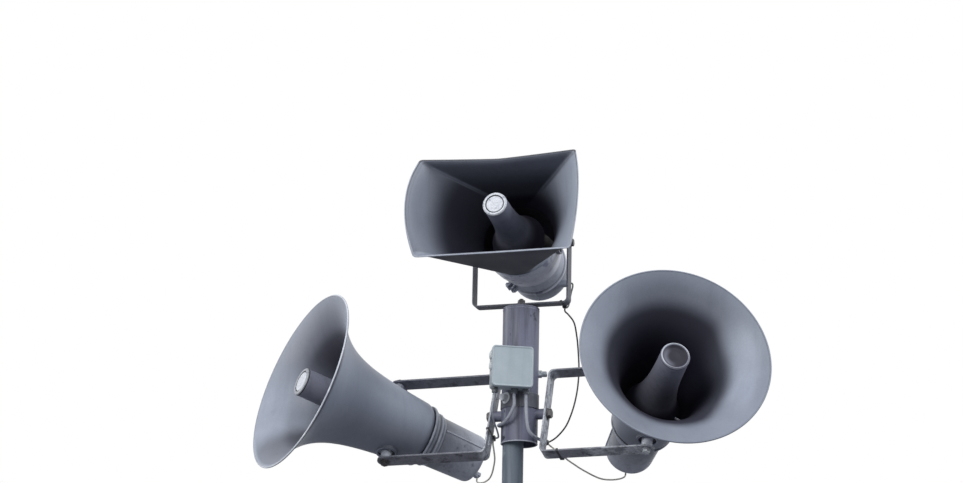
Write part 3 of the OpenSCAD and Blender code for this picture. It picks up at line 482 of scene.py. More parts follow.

# each finish: its base, shade and light colours, its roughness and the rest of what finish takes
# the dark colour given for painted shade is the one that throats, grooves and crevices darken to
LOOKS = {
    "horn_paint": (
        (0.318, 0.353, 0.428), (0.195, 0.217, 0.27), (0.375, 0.415, 0.495), 0.46,
        dict(streak=0.14, dust=0.1, painted_shade=(0.011, 0.010, 0.020), rub=(0.62, 0.66, 0.74), rub_amount=0.6,
             shine=0.3, coat=0.15,
             patches=[(cloud(11.0, 0.58, 0.24, (1, 1, 0.35)), (0.272, 0.300, 0.366))])),
    "pot_paint": (
        (0.46, 0.485, 0.56), (0.22, 0.23, 0.295), (0.60, 0.63, 0.70), 0.36,
        dict(streak=0.3, dust=0.2, painted_shade=(0.012, 0.0115, 0.019), rub=(0.72, 0.75, 0.82), rub_amount=0.8,
             shine=0.5, coat=0.12, speckle=0.12,
             patches=[(cloud(24.0, 0.56, 0.08), (0.22, 0.23, 0.31)),
                      (cloud(60.0, 0.6, 0.05), (0.62, 0.64, 0.70))])),
    # paler than the horn paint: a painted highlight on the lips, rims and the right nose's ring, and the bosses'
    # own pale colour
    "lip_paint": (
        (0.42, 0.45, 0.51), (0.20, 0.21, 0.25), (0.56, 0.59, 0.65), 0.35,
        dict(streak=0.2, dust=0.1, shine=0.6, painted_shade=(0.020, 0.021, 0.028),
             patches=[(cloud(40.0, 0.6), (0.66, 0.69, 0.74))])),
    # darker than the horn paint: painted shade on the reflectors inside the horns and on the right nose's dish
    "shaded_reflector_paint": (
        (0.182, 0.188, 0.238), (0.09, 0.093, 0.12), (0.23, 0.237, 0.295), 0.5,
        dict(streak=0.3, dust=0.1, painted_shade=(0.011, 0.010, 0.020), rub=(0.5, 0.54, 0.6), rub_amount=0.5, shine=0.3)),
    "disc_metal": (
        (0.52, 0.545, 0.58), (0.24, 0.255, 0.29), (0.58, 0.605, 0.65), 0.42,
        dict(metallic=0.2, streak=0.1, dust=0.1, speckle=0.22, painted_shade=(0.02, 0.02, 0.028),
             patches=[(cloud(95.0, 0.5), (0.60, 0.62, 0.66)), (cloud(150.0, 0.6, 0.05), (0.25, 0.27, 0.31))])),
    "driver_paint": (
        (0.34, 0.365, 0.43), (0.13, 0.14, 0.18), (0.39, 0.42, 0.48), 0.5,
        dict(streak=0.4, dust=0.4, rub=(0.55, 0.58, 0.65), rub_amount=0.8, shine=0.4, speckle=0.12,
             painted_shade=(0.01, 0.01, 0.015), coat=0.3,
             patches=[(cloud(26.0, 0.6), (0.14, 0.15, 0.19)), (cloud(60.0, 0.62, 0.05), (0.40, 0.43, 0.48))])),
    "pipe_paint": (
        (0.15, 0.185, 0.225), (0.08, 0.095, 0.12), (0.20, 0.24, 0.28), 0.5,
        dict(streak=0.6, dust=0.1, rub=(0.4, 0.42, 0.46), rub_amount=0.6, shine=0.35,
             patches=[(cloud(18.0, 0.62), (0.27, 0.33, 0.36)),
                      (cloud(9.0, 0.6, 0.1, (1, 1, 0.2)), (0.10, 0.115, 0.15))])),
    "sleeve_paint": (
        (0.130, 0.137, 0.192), (0.048, 0.050, 0.075), (0.165, 0.172, 0.235), 0.42,
        dict(streak=0.8, dust=0.1, rub=(0.5, 0.52, 0.6), rub_amount=1.0, shine=0.4,
             patches=[(cloud(24.0, 0.54, 0.14, (1, 1, 0.06)), (0.18, 0.182, 0.24)),
                      # the pale strip down the sleeve is a painted highlight, and partly wear
                      (sleeve_sheen_and_wear, (0.25, 0.265, 0.31)), (cloud(34.0, 0.63, 0.06), (0.04, 0.04, 0.058))])),
    "strap_paint": (
        (0.078, 0.080, 0.102), (0.03, 0.031, 0.042), (0.13, 0.135, 0.16), 0.45,
        dict(streak=0.5, dust=0.15, rub=(0.40, 0.42, 0.48), rub_amount=0.9, shine=0.4,
             patches=[(cloud(34.0, 0.62), (0.15, 0.16, 0.19))])),
    "side_strap": (
        (0.165, 0.169, 0.202), (0.045, 0.045, 0.06), (0.25, 0.255, 0.295), 0.45,
        dict(streak=0.5, dust=0.15, rub=(0.42, 0.44, 0.5), rub_amount=1.0, shine=0.4, speckle=0.15,
             patches=[(cloud(34.0, 0.56, 0.07), (0.08, 0.082, 0.10)), (bracket_legs, (0.62, 0.65, 0.69)),
                      # pale patches near the lower right arm's pivot are a painted highlight
                      (arm_highlight, (0.52, 0.545, 0.585))])),
    "galvanised": (
        (0.36, 0.39, 0.42), (0.20, 0.22, 0.25), (0.50, 0.53, 0.56), 0.42,
        dict(metallic=0.4, streak=0.5, dust=0.3, rub=(0.7, 0.72, 0.75), rub_amount=0.5,
             patches=[(cloud(90.0, 0.54), (0.60, 0.63, 0.66))])),
    # the band's dark base is painted shade under the junction box; the near-white nut is its pale zinc and a
    # painted highlight
    "shaded_band_zinc": (
        (0.085, 0.088, 0.11), (0.03, 0.03, 0.042), (0.15, 0.155, 0.18), 0.45,
        dict(metallic=0.2, streak=0.6, dust=0.2, rub=(0.45, 0.47, 0.52), rub_amount=0.8,
             patches=[(cloud(60.0, 0.6), (0.22, 0.23, 0.26)), (close_to(band_nut, 0.0165), (0.90, 0.92, 0.94))])),
    "bolt_steel": (
        (0.05, 0.047, 0.05), (0.02, 0.02, 0.022), (0.09, 0.085, 0.09), 0.38,
        dict(metallic=0.3, streak=0.2, dust=0.15, rub=(0.30, 0.30, 0.32), rub_amount=0.4,
             patches=[(cloud(120.0, 0.62), (0.13, 0.10, 0.085))])),
    "box_shell": (
        (0.345, 0.405, 0.44), (0.24, 0.29, 0.32), (0.42, 0.48, 0.515), 0.42,
        dict(streak=0.25, dust=0.2, rub=(0.76, 0.82, 0.84), rub_amount=0.8, coat=0.15, painted_shade=(0.12, 0.14, 0.15),
             patches=[(cloud(20.0, 0.6, 0.2, (1, 1, 0.3)), (0.48, 0.53, 0.555))])),
    # the glands' dark base is painted shade under the junction box; the grommets keep their own pale colour
    "shaded_gland_plastic": (
        (0.10, 0.11, 0.125), (0.05, 0.055, 0.065), (0.14, 0.155, 0.17), 0.45,
        dict(streak=0.2, dust=0.2, rub=(0.35, 0.38, 0.4), rub_amount=0.6,
             patches=[(close_to(p, 0.0135), (0.74, 0.79, 0.81)) for p in grommets])),
    "lead_jacket": (
        (0.29, 0.31, 0.36), (0.15, 0.16, 0.19), (0.40, 0.42, 0.47), 0.5,
        dict(streak=0.25, dust=0.15,
             patches=[(cloud(70.0, 0.6), (0.17, 0.18, 0.21))])),
    "pale_jacket": (
        (0.52, 0.50, 0.44), (0.30, 0.29, 0.26), (0.64, 0.62, 0.56), 0.5,
        dict(streak=0.3, dust=0.1,
             patches=[(cloud(70.0, 0.62), (0.34, 0.33, 0.30))])),
    "tie_plastic": (
        (0.02, 0.02, 0.024), (0.01, 0.01, 0.012), (0.04, 0.04, 0.045), 0.4,
        dict(streak=0.1, dust=0.2)),
}
FINISH = {name: finish(name, *colours, **more) for name, (*colours, more) in LOOKS.items()}


# ---------------------------------------------------------------- round horns
def bell_r(back):
    """Outer radius of the bell at a distance behind its mouth: a straight taper plus a flare that
    fades by the exponential of the distance."""
    flare = MOUTH_R - BELL_END_R - BELL_SLOPE * BELL_LEN
    return BELL_END_R + BELL_SLOPE * (BELL_LEN - back) + flare * np.exp(-np.asarray(back, float) / FLARE_FADE)


def throat(horn, back, up, out):
    """Painted shade inside a round horn at a distance behind its mouth, on a wall whose direction from the
    axis is up (1 at the top, -1 at the bottom) and out (1 at the side away from the mast). It is 1 less
    what is left of the paint's lightness. The left horn, seen from its side, darkens by an exponential
    of the distance, most at the top, and at its sides behind the first 50 mm. The right one, seen from
    its front, turns dark about 41 mm in, or about 60 mm in on its outer side, which also has a painted highlight."""
    if horn == "left":
        deeper = 0.25 * ease(back, 36, 60) + 0.68 * ease(up, 0.5, 1.0) + 0.25 * ease(-up, 0.1, 0.6)
        dark = (0.92 * (1 - np.exp(-back / 21)) * deeper
                + 0.40 * ease(-up, 0.2, 0.58) * ease(back, 0, 4) + 0.12 * ease(up, 0.2, 0.7))
        return 1 - (SHADED_INSIDE_TONE + 0.12 * ease(-up, -0.6, -0.1)) * (1 - dark)
    late = ease(out, 0.55, 0.95)
    # painted highlight: a paler patch on the right horn's outer side, from 4 to 70 mm in
    painted_highlight = 0.24 * late * ease(back, 4, 20) * (1 - ease(back, 48, 70)) * ease(up, -0.7, -0.2)
    bare = SHADED_INSIDE_TONE + painted_highlight - 0.12 * ease(-up, 0.7, 1.0)
    bare = bare * (1 - (0.9 - 0.08 * late) * ease(back, 25 + 14 * late, 58 + 24 * late))
    bare = bare * (1 - 0.93 * ease(back, 60, 150)) * (1 - 0.34 * ease(back, -12, 24) * ease(up, 0.4, 0.95))
    return 1 - bare * (1 - 0.22 * ease(-out, -0.2, 0.5) * ease(-up, -0.2, 0.5))


def bell_skin(horn):
    """Outer skin from the ring to the mouth, rounded off over its last 18 mm at the ring, and the inner
    skin a sheet's thickness in, back again. Outside, painted shade makes it darker to the rear and below,
    and dark in the crevices at the ring and, below, behind the lip; inside, the throat's painted shade."""
    back = BELL_LEN * np.linspace(1, 0, 100) ** 1.7
    off = 8.5 * np.clip(1 - (BELL_LEN - back) / 18, 0, 1) ** 2
    outer = np.stack([MOUTH_AHEAD - back, bell_r(back) - off], -1)
    v, f = closed_ring(np.vstack([outer, (outer - [0, SHEET])[::-1]]), 224, lobes=0.0012)
    up, out = np.sin(round_about(224)), np.cos(round_about(224))
    # painted shade outside: behind the lip below, in the crevice at the ring, to the rear and below
    at_lip = 0.9 * (ease(back, 2, 4) * (1 - ease(back, 10, 26)))[:, None] * ease(-up, -0.3, 0.3)
    at_ring = 0.5 * (1 - ease(BELL_LEN - back, 1, 5))[:, None]
    outside = np.maximum(at_lip + at_ring, 0.16 * ease(back, 50, 150)[:, None] + 0.3 * ease(-up, 0.1, 0.9))
    return v, f, np.r_[outside.ravel(), throat(horn, back[::-1, None], up, out).ravel()]


def dished_pad(side, seat, rests_on):
    """A dished pad: its wall is draped on the horn, rises, rolls over into the dish and meets the boss,
    as rings of the pad's own angle and one height each. The wall and the dish's floor are darkened by painted
    shade."""
    a = round_about(96)
    rings, dark = [], []
    for r, z in rounded([(PAD_R + 2, seat - 30), (PAD_R, seat - 2), (PAD_R, seat + 6), (DISH_R, seat + 6),
                         (DISH_R - 0.6, seat + 0.3), (BOSS_R, seat + 0.3)], 1.4, 4):
        x, y = r * np.cos(a), r * np.sin(a)
        draped = np.sqrt(np.maximum(rests_on(x) ** 2 - y ** 2, 1)) - 1.2
        height = np.maximum(z, draped) if r > DISH_R + 1 else np.full(96, z)
        rings.append(np.stack([x, y, side * height], -1))
        on_wall = r >= DISH_R + 0.5
        depth = 0.75 * ease(r, PAD_R - 2, PAD_R - 0.5) if on_wall else 0.92 * ease(seat + 6 - z, 1.0, 4)
        dark.append(np.full(96, depth))
    return np.vstack(rings), grid_faces(len(rings), 96), np.concatenate(dark)


def boss(side, seat, end):
    """The pivot's boss, from the dish to the bracket's arm, bored for the bolt."""
    v, f = revolved(rounded([(seat - 1, 0.02), (seat - 1, BOSS_R + 1.5), (seat + 2, BOSS_R), (end - 1.2, BOSS_R),
                             (end, BOSS_R - 1.2), (end, 5.4), (end - 9, 5.4), (end - 9, 0.02)], 0.8, 3), 64, "z")
    return v * [1, 1, side], f


def back_ring():
    """Back ring: a plate with two raised hoops, corners rounded, with painted shade in the grooves beside them."""
    s, b, d, e = SEAT_BEHIND, BELL_BEHIND, DRIVER_R, BELL_END_R
    p = rounded([(-s, 0.02), (-s, d + 2), (-s + 2, d + 3.5), (-s + 6, d + 3.5), (-s + 8, d + 1), (-s + 12, d + 2),
                 (-s + 15, d + 6), (-s + 20, d + 7), (-b - 7, e - 5), (-b - 6, e - 1), (-b - 4, e), (-b - 1, e),
                 (-b, e - 1), (-b, e - 4), (-b - 8, e - 10), (-b - 8, 0.02)], 1.1, 4)
    # painted shade in the grooves and in the crevices at the ring's two ends
    grooves = ((-s + 9.5, 4, 1.0), (-b - 8.2, 2.6, 0.8), (-s, 1.5, 0.8), (-b, 1.0, 0.5))
    dark = sum(share * np.clip(1 - np.abs(p[:, 0] - middle) / half, 0, 1) for middle, half, share in grooves)
    v, f = revolved(p, 128)
    return v, f, np.repeat(np.minimum(dark, 0.6), 128)


def driver_skins(seat, length, seat_r, end_r):
    """Driver cover: seat rim, straight taper, shoulder rolled into the flat end, and two mould ridges."""
    end = -seat - length
    p = rounded([(-seat, 0.02), (-seat, seat_r), (-seat - 6, seat_r), (-seat - 8, seat_r - 1.5),
                 (end + 14, end_r + 1), (end + 6, end_r - 1), (end + 1.5, end_r - 6), (end, end_r - 14),
                 (end, 0.02)], 3.0, 5)
    v, f = revolved(p, 128)
    # painted shade in the groove behind the seat rim
    skins = [(v, f, np.repeat(0.7 * np.clip(1 - np.abs(p[:, 0] + seat + 8.5) / 2.5, 0, 1), 128))]
    taper = math.degrees(math.atan((seat_r - 1.5 - end_r - 1) / (length - 22)))
    v, f = slab((-length + 26, 0, -2), (0, 4.5, 2), 1.2)
    m = move(-seat - 10, seat_r - 3.5, 0) @ turn("z", taper)
    v = moved(v, m)
    return skins + [(v * [1, flip, 1], f) for flip in (1, -1)]


def entry(low, high):
    """A moulded cable entry with a round gland in its underside."""
    low, high = np.array(low), np.array(high)
    v, f = revolved(rounded([(0, 0.02), (0, 4.6), (1.2, 5.4), (5.0, 6.2), (9, 6.4), (9, 0.02)], 0.5, 3), 40, "z")
    return [slab(low + [1.2, 1.2, 4], high - 1.2, 2.6), (v + [*(low + high)[:2] / 2, low[2]], f)]


def nose_end(horn, nose_r, nose_x):
    """The end of a reflector's nose: on the right horn a dish dark with painted shade that shows a pale
    crescent, a painted highlight, in a thin ring with a painted highlight on one side, and on the others
    a pale disc in a grooved rim, with painted shade in the groove and, on the left horn, on the rim.
    Painted shade also darkens the nose's side. The profiles hold the distance behind the nose's end and the radius."""
    name, place, body, right = horn + "_reflector_nose", HORN[horn], horn + "_horn", horn == "right"
    side = [(8, 0.02), (8, nose_r - 2), (7, nose_r + 2.3), (3, nose_r + 2.1), (1.2, nose_r + 0.9)]
    if right:
        face = [(1.0, nose_r - 2.0), (1.6, nose_r * 0.86), (4.2, nose_r * 0.70), (5, nose_r * 0.4), (4.2, 0.02)]
    else:
        face = [(0, nose_r - 1.5), (0, nose_r * 0.83), (3.5, nose_r * 0.80), (3.5, nose_r * 0.77),
                (1.2, nose_r * 0.73), (1.0, nose_r * 0.4), (1.6, 0.02)]
    cap = rounded([(nose_x - behind, r) for behind, r in side + face], 1.0, 5)
    share, down = cap[:, 1:] / nose_r, nose_x - cap[:, :1]
    angle = round_about(96)
    dark = 0.85 * ease(down, 1.5, 7.5) * (share > 0.9) + np.zeros(96)
    if right:
        # painted highlight: a pale crescent on one side of the shaded dish
        crescent = ease(np.cos(angle - 3.5), 0.1, 0.9) * ease(share, 0.5, 0.7) * (1 - ease(share, 0.8, 0.9))
        dark = np.where(share < 0.9, 0.97 - 0.5 * crescent, dark)
    else:
        groove = ease(share, 0.72, 0.77) * (1 - ease(share, 0.82, 0.86)) * ease(down, 0.3, 1.5)
        rim = (0.45 if horn == "left" else 0.0) * ease(share, 0.80, 0.86)
        dark = np.clip(dark + np.maximum(groove, rim), 0, 1)
    v, f = revolved(cap, 96)
    make(name, [(v, f, dark.ravel())], place, body, "horn_paint" if right else "galvanised",
         look="shaded_reflector_paint" if right else "disc_metal")
    if right:
        # painted shade round the ring but for a painted highlight on one side
        v, f = torus(nose_x - 1.2, nose_r - 0.6, 1.3, 96, 14)
        make(name + "_ring", [(v, f, np.tile(0.8 * ease(np.cos(angle + 0.9), -0.1, 0.8), 14))], place, body,
             "horn_paint", look="lip_paint")


def reflector(horn, nose_r, nose_x, rear_x, floor_x, whole, wall_r=0.0):
    """Nose, cup that widens by a high power towards its rim, and tone arm as one piece, the nose's end as
    others, and with a wall radius three struts as one more. The cup's painted shade grows to whole 150 mm
    behind the nose, and its flared foot is darker still; the tone arm is in full painted shade."""
    name, place, body = horn + "_reflector", HORN[horn], horn + "_horn"
    length = nose_x - rear_x
    cup_x = nose_x - 3 - length * 0.2
    t = np.linspace(0, 1, 60)
    r = nose_r + 2 + (REFLECTOR_R - nose_r - 2) * t ** 3.4
    cone = np.stack([nose_x - 3 - (length - 3) * t, r], -1)
    cup = np.vstack([[(nose_x - 6, 0.02), (nose_x - 6, nose_r - 2)], cone[1:],
                     [(rear_x - 1.2, REFLECTOR_R - 0.6), (rear_x - 1.2, REFLECTOR_R - 2.4)],
                     (cone - [0, CUP_WALL])[t > 0.2][::-1], [(cup_x, ARM_R - 6), (cup_x, 0.02)]])
    down = nose_x - cup[:, 0]
    dark = np.maximum(whole * ease(down, 10, 150), 0.95 * ease(down, 0.62 * length, 0.9 * length))
    v, f = revolved(cup, 128)
    arm = revolved([(floor_x, 0.02), (floor_x, ARM_R), (cup_x, ARM_R - 6), (cup_x, 0.02)], 64)
    make(name + "_skin", [(v, f, np.repeat(dark, 128)), (*arm, np.ones(len(arm[0])))], place, body, "horn_paint",
         (name,), look="shaded_reflector_paint")
    nose_end(horn, nose_r, nose_x)
    if wall_r:
        foot, rods = np.array([rear_x + 6, 0, 0]), []
        for a in np.radians([67, 187, 307]):
            way = np.array([0.0, math.sin(a), -math.cos(a)])
            rods.append(sweep([foot + way * (REFLECTOR_R - 4), foot + way * (wall_r - 0.6)], 3.0, 16))
        make(name + "_struts", rods, place, body, "galvanised", look="disc_metal")


# tube_dark: the painted shade on each reflector's tube 150 mm behind its nose
for s, tube_dark in (("left", 0.3), ("right", 0.45)):
    place, body, left = HORN[s], s + "_horn", s == "left"
    seat = float(bell_r(MOUTH_AHEAD)) - 1
    pads = [dished_pad(side, seat, lambda x: bell_r(MOUTH_AHEAD - x)) for side in (1, -1)]
    make(s + "_bell_skin", [bell_skin(s)] + pads, place, body, "horn_paint", (s + "_bell",))
    make(s + "_bosses", [boss(side, seat, SIDE_GAP / 2 - SLIDE_GAP) for side in (1, -1)], place, body, "horn_paint",
         look="lip_paint")
    v, f = torus(MOUTH_AHEAD - 1.0, MOUTH_R - 0.4, 2.4, 256, 18)
    a = round_about(18)
    # painted shade on the lip's inner and rear sides; the right lip, in horn paint, is darker all round, and the
    # left lip's paler paint is a painted highlight
    shade = np.maximum(0.45 * ease(-np.cos(a), -0.3, 0.5), 0.9 * ease(-np.sin(a), 0.05, 0.4) * (np.cos(a) > -0.3))
    make(s + "_lip", [(v, f, np.repeat(shade if left else 0.3 + 0.3 * shade, 256))], place, body, "horn_paint",
         look="lip_paint" if left else "horn_paint")
    make(s + "_ring_skin", [back_ring()], place, body, "horn_paint", (s + "_back_ring",), look="driver_paint")
    end = -SEAT_BEHIND - DRIVER_LEN
    make(s + "_driver_skin", driver_skins(SEAT_BEHIND, DRIVER_LEN, DRIVER_R, DRIVER_END_R)
         + entry((end - ENTRY_REACH, -ENTRY_W / 2, -ENTRY_DROP), (end + 4, ENTRY_W / 2, -ENTRY_DROP + ENTRY_W)),
         place, body, "driver_paint", (s + "_driver",))
    reflector(s, NOSE_R, MOUTH_AHEAD - 2, MOUTH_AHEAD - REFLECTOR_LEN, -BELL_BEHIND - 8, tube_dark,
              wall_r=float(bell_r(REFLECTOR_LEN - 6)) - SHEET)


# ---------------------------------------------------------------- rectangular horn
ARC, FLAT = 48, 36


def flare_ring(back, inset):
    """One ring of the flare. Its flat top and bottom edges narrow in a straight line to the seam, its
    side arcs swell until the ring is a circle there, and near the mouth the sides bow forward and the
    flat edges bow in. Last, the four corners are rounded by a running mean over at most 10 mm of the
    outline each way."""
    at_mouth = 1 - back / RECT_DEPTH
    seam_a = 0.15 * POT_R
    seam_b = math.sqrt(POT_R ** 2 - seam_a ** 2)
    a = seam_a + (RECT_W / 2 - seam_a) * at_mouth
    sag = POT_R + (RECT_W / 2 + SIDE_BOW - POT_R) * at_mouth ** 1.25 - a
    a, b = a - inset, seam_b + (RECT_H / 2 - seam_b) * at_mouth - inset
    r = (b * b + sag * sag) / (2 * sag)
    half = math.atan2(b, r - sag)
    bulge = (POT_R - seam_b) * (1 - at_mouth) ** 6 - 5 * at_mouth ** 2
    rows = []
    for side in range(4):
        n = FLAT if side % 2 else ARC
        u = 2 * np.arange(n) / n - 1
        u = 0.6 * np.sin(u * math.pi / 2) + 0.4 * u  # so that the points crowd towards the corners
        if side % 2:
            bow = 1 - np.abs(u) ** 1.15
            across, up, forward = -a * u, b + bulge * bow, -FLAT_BOW * at_mouth ** 2 * bow
        else:
            across, up = a + sag - r + r * np.cos(half * u), r * np.sin(half * u)
            forward = MOUTH_BOW * at_mouth ** 2 * (1 - u * u)
        way = 1 if side < 2 else -1
        rows.append(np.stack([RECT_MOUTH - back + forward, way * up, -way * across], -1))
    p = np.vstack(rows)
    s = np.r_[0, np.cumsum(np.linalg.norm(np.roll(p, -1, 0) - p, axis=1))]
    reach = 10.0 * (0.3 + 0.7 * at_mouth)
    taps = np.linspace(-reach, reach, 9)
    weight = 1.15 - (taps / reach) ** 2
    return sum(share * np.stack([np.interp(s[:-1] + tap, s[:-1], p[:, k], period=s[-1]) for k in range(3)], -1)
               for tap, share in zip(taps, weight / weight.sum()))


def flare_skin():
    """Rings from the seam to the lip outside, over the lip's thin edge, and back inside, where the sheet
    curls outwards over its last 20 mm. Inside, painted shade darkens the depth, sooner at the left wall,
    and the top panel too, with a painted highlight as a paler line along its corners. Outside, painted
    shade darkens the bottom panel and a band behind the lip."""
    backs = RECT_DEPTH * np.linspace(0, 1, 64) ** 1.1
    out = [(b, 0.0) for b in backs[:3:-1]]
    lip = [(7.0, -0.2), (5.6, -0.8), (4.6, -3.4), (4.2, -5.2), (3.4, -6.0), (1.6, -6.2), (0.6, -5.9),
           (0.0, -5.0), (0.0, -4.3), (0.5, -3.8)]
    curled = [1.5, 3.0, 5.0, 8.0, 12.0, 17.0, *backs[backs > 22]]
    inside = [(b, SHEET - 6.2 * math.exp(-b / 7.0)) for b in curled]
    levels = np.array(out + lip + inside)
    rings, back = np.array([flare_ring(b, inset) for b, inset in levels]), levels[:, :1]
    rows, columns = rings.shape[:2]
    within = (np.arange(rows) >= len(out) + len(lip))[:, None]
    up = rings[:, :, 1] / np.abs(rings[:, :, 1]).max(1)[:, None]
    on_left = (rings[:, :, 2] > 0) & (np.abs(up) < 0.94)
    top, bottom = ease(up, 0.90, 0.97), ease(-up, 0.90, 0.97)
    depth = np.where(on_left, 0.9 * ease(back, 36, 104), ease(back, 70, 190))
    dark_in = np.maximum(depth, top * (0.45 + 0.4 * ease(back, 10, 150))) * ease(back, 0.5, 4)
    # painted highlight: a paler line along the top panel's two corners
    for corner in (ARC, ARC + FLAT):
        off = np.linalg.norm(rings - rings[:, [corner]], axis=2)
        dark_in -= 0.28 * np.exp(-(off / 3.5) ** 2) * ease(back, 12, 30) * (1 - ease(back, 120, 180))
    dark_in = 1 - (SHADED_INSIDE_TONE - 0.2 * on_left * (1 - top)) * (1 - dark_in)
    dark_out = 0.92 * bottom * ease(back, 6, 10) + 0.4 * ease(back, 5, 7) * (1 - ease(back, 9, 16)) * (1 - bottom)
    dark = np.where(within, dark_in, np.where(back < 7.5, 0.85 * top, dark_out))
    return rings.reshape(-1, 3), grid_faces(rows, columns, close_rows=True), np.clip(dark, 0, 1).ravel()


def lip_wire():
    """A round wire along the flare's lip, darkened by painted shade but for its bottom edge."""
    path = flare_ring(1.9, -4.3)
    outward = np.cross(np.roll(path, -1, 0) - np.roll(path, 1, 0), [1.0, 0, 0])
    outward /= np.linalg.norm(outward, axis=1)[:, None]
    a = round_about(12)[:, None, None]
    v = path + 1.7 * (np.sin(a) * np.array([1.0, 0, 0]) + np.cos(a) * outward)
    dark = 0.25 + 0.6 * ease(path[:, 1] / np.abs(path[:, 1]).max(), -0.9, -0.3)
    return v.reshape(-1, 3), grid_faces(12, len(path), close_rows=True), np.tile(dark, 12)


def housing_skin():
    """Rear housing: seat flange, neck for the clamp band, shoulder and the round body up to the seam,
    then the inner wall and floor, which are dark with painted shade, as are the creases at the shoulder
    and the flange."""
    s, t, d, n, r = -SHOULDER, -TOP_SEAT, TOP_DRIVER_R, NECK_R, POT_R
    outer = rounded([(t, 0.02), (t, d + 1), (t + 2, d + 3), (t + 6, d + 3), (t + 8, n), (s - 6, n), (s - 4, n + 4),
                     (s - 1, r - 13), (s + 2, r - 12), (s + 6, r - 12), (s + 18, r - 9), (s + 42, r - 3),
                     (s + 66, r), (RECT_SEAM, r)], 1.6, 5)
    inner = [(RECT_SEAM, r - SHEET), (s + 66, r - SHEET), (s + 42, r - 3 - SHEET), (s + 18, r - 9 - SHEET),
             (s + 4, r - 24), (s + 4, 0.02)]
    x = outer[:, 0]
    crease = np.clip(1 - np.abs(x - s + 6) / 4, 0, 1) + np.clip(1 - np.abs(x - t - 8.5) / 3, 0, 1)
    v, f = revolved(np.vstack([outer, inner]), 160)
    return v, f, np.repeat(np.r_[np.clip(crease, 0, 0.8), np.ones(len(inner))], 160)


def pot_r_at(x):
    """Outer radius of the rear housing where its pads sit."""
    return np.interp(x, [-66, -54, -30, -6, 30], [POT_R - 12, POT_R - 9, POT_R - 3, POT_R, POT_R])


place, body = HORN["top"], "top_horn"
make("top_flare_skin", [flare_skin()], place, body, "horn_paint", ("top_flare",), sharp=40)
make("top_housing_skin", [housing_skin()] + [dished_pad(side, POT_R - 1, pot_r_at) for side in (1, -1)]
     + [boss(side, POT_R - 1, TOP_GAP / 2 - SLIDE_GAP) for side in (1, -1)], place, body, "horn_paint",
     ("top_housing",), look="pot_paint")
make("top_lip", [lip_wire()], place, body, "horn_paint", look="lip_paint")
make("top_seam", [torus(RECT_SEAM + 1, POT_R + 0.4, 1.3, 192, 12)], place, body, "horn_paint")
reflector("top", TOP_NOSE_R, RECT_MOUTH - 3, RECT_MOUTH - 219, -SHOULDER + 4, 0.3)
make("top_driver_skin", driver_skins(TOP_SEAT, TOP_DRIVER_LEN, TOP_DRIVER_R, TOP_DRIVER_R - 4)
     + [slab((-TOP_ENTRY_BEHIND - ENTRY_W / 2, -TOP_ENTRY_DROP - ENTRY_W / 2, -TOP_ENTRY_SIDE),
             (-TOP_ENTRY_BEHIND + ENTRY_W / 2, -TOP_ENTRY_DROP + ENTRY_W / 2, -TOP_ENTRY_SIDE + 2 * ENTRY_W), 2.0)],
     place, body, "driver_paint", ("top_driver",))

# ---------------------------------------------------------------- junction box and welds
lie = BOX @ move(-BOX_SHIFT, 0, 0) @ turn("x", 90)
front = SLEEVE_R + BOX_DEPTH - LID_T
lid = [(98.6, 7.3, 0), (100, 8, 0.8), (100, 8, 12), (99.5, 7.8, 13.2), (98.2, 7.2, 13.9), (97, 6.6, 14),
       (93.6, 5.6, 14), (92.6, 5.2, 13.8), (92.1, 5.0, 13.2), (91, 4.6, 13), (89, 4.0, 13)]
make("lid_skin", [stack([(width, corner, front + z) for width, corner, z in lid])], lie, "mast", "box_shell",
     ("box_lid",), sharp=50)
v, f = stack([(94.6, 5.3, SLEEVE_R), (96, 6, SLEEVE_R + 0.8), (96, 6, front - 3), (96, 6, front + 0.5),
              (95, 5.5, front + 2)])
# painted shade where the box meets the sleeve and in the crevice under the lid
dark = np.r_[np.repeat([0.2, 0.0, 0.0, 0.8, 0.8], (len(v) - 2) // 5), 0.5, 0.5]
make("box_skin", [(v, f, dark)], lie, "mast", "box_shell", ("junction_box",), sharp=50)
at_sleeve = move(SLEEVE_X, 0, 0)
make("base_weld", [bead(PIPE_R + 1.2, BASE_T + 1.4, 2.8, 60)], np.eye(4), "mast", "galvanised")
# the sleeve's bottom lip in the paler lip paint, a painted highlight
make("sleeve_lip", [torus(SLEEVE_BOTTOM + 1.2, SLEEVE_R - 0.9, 1.4, 96, 12, "z")], at_sleeve, "mast",
     "sleeve_paint", look="lip_paint")
make("cap_weld", [bead(SLEEVE_R - 0.6, SLEEVE_TOP + 0.3, 1.1, 90)], at_sleeve, "mast", "sleeve_paint")

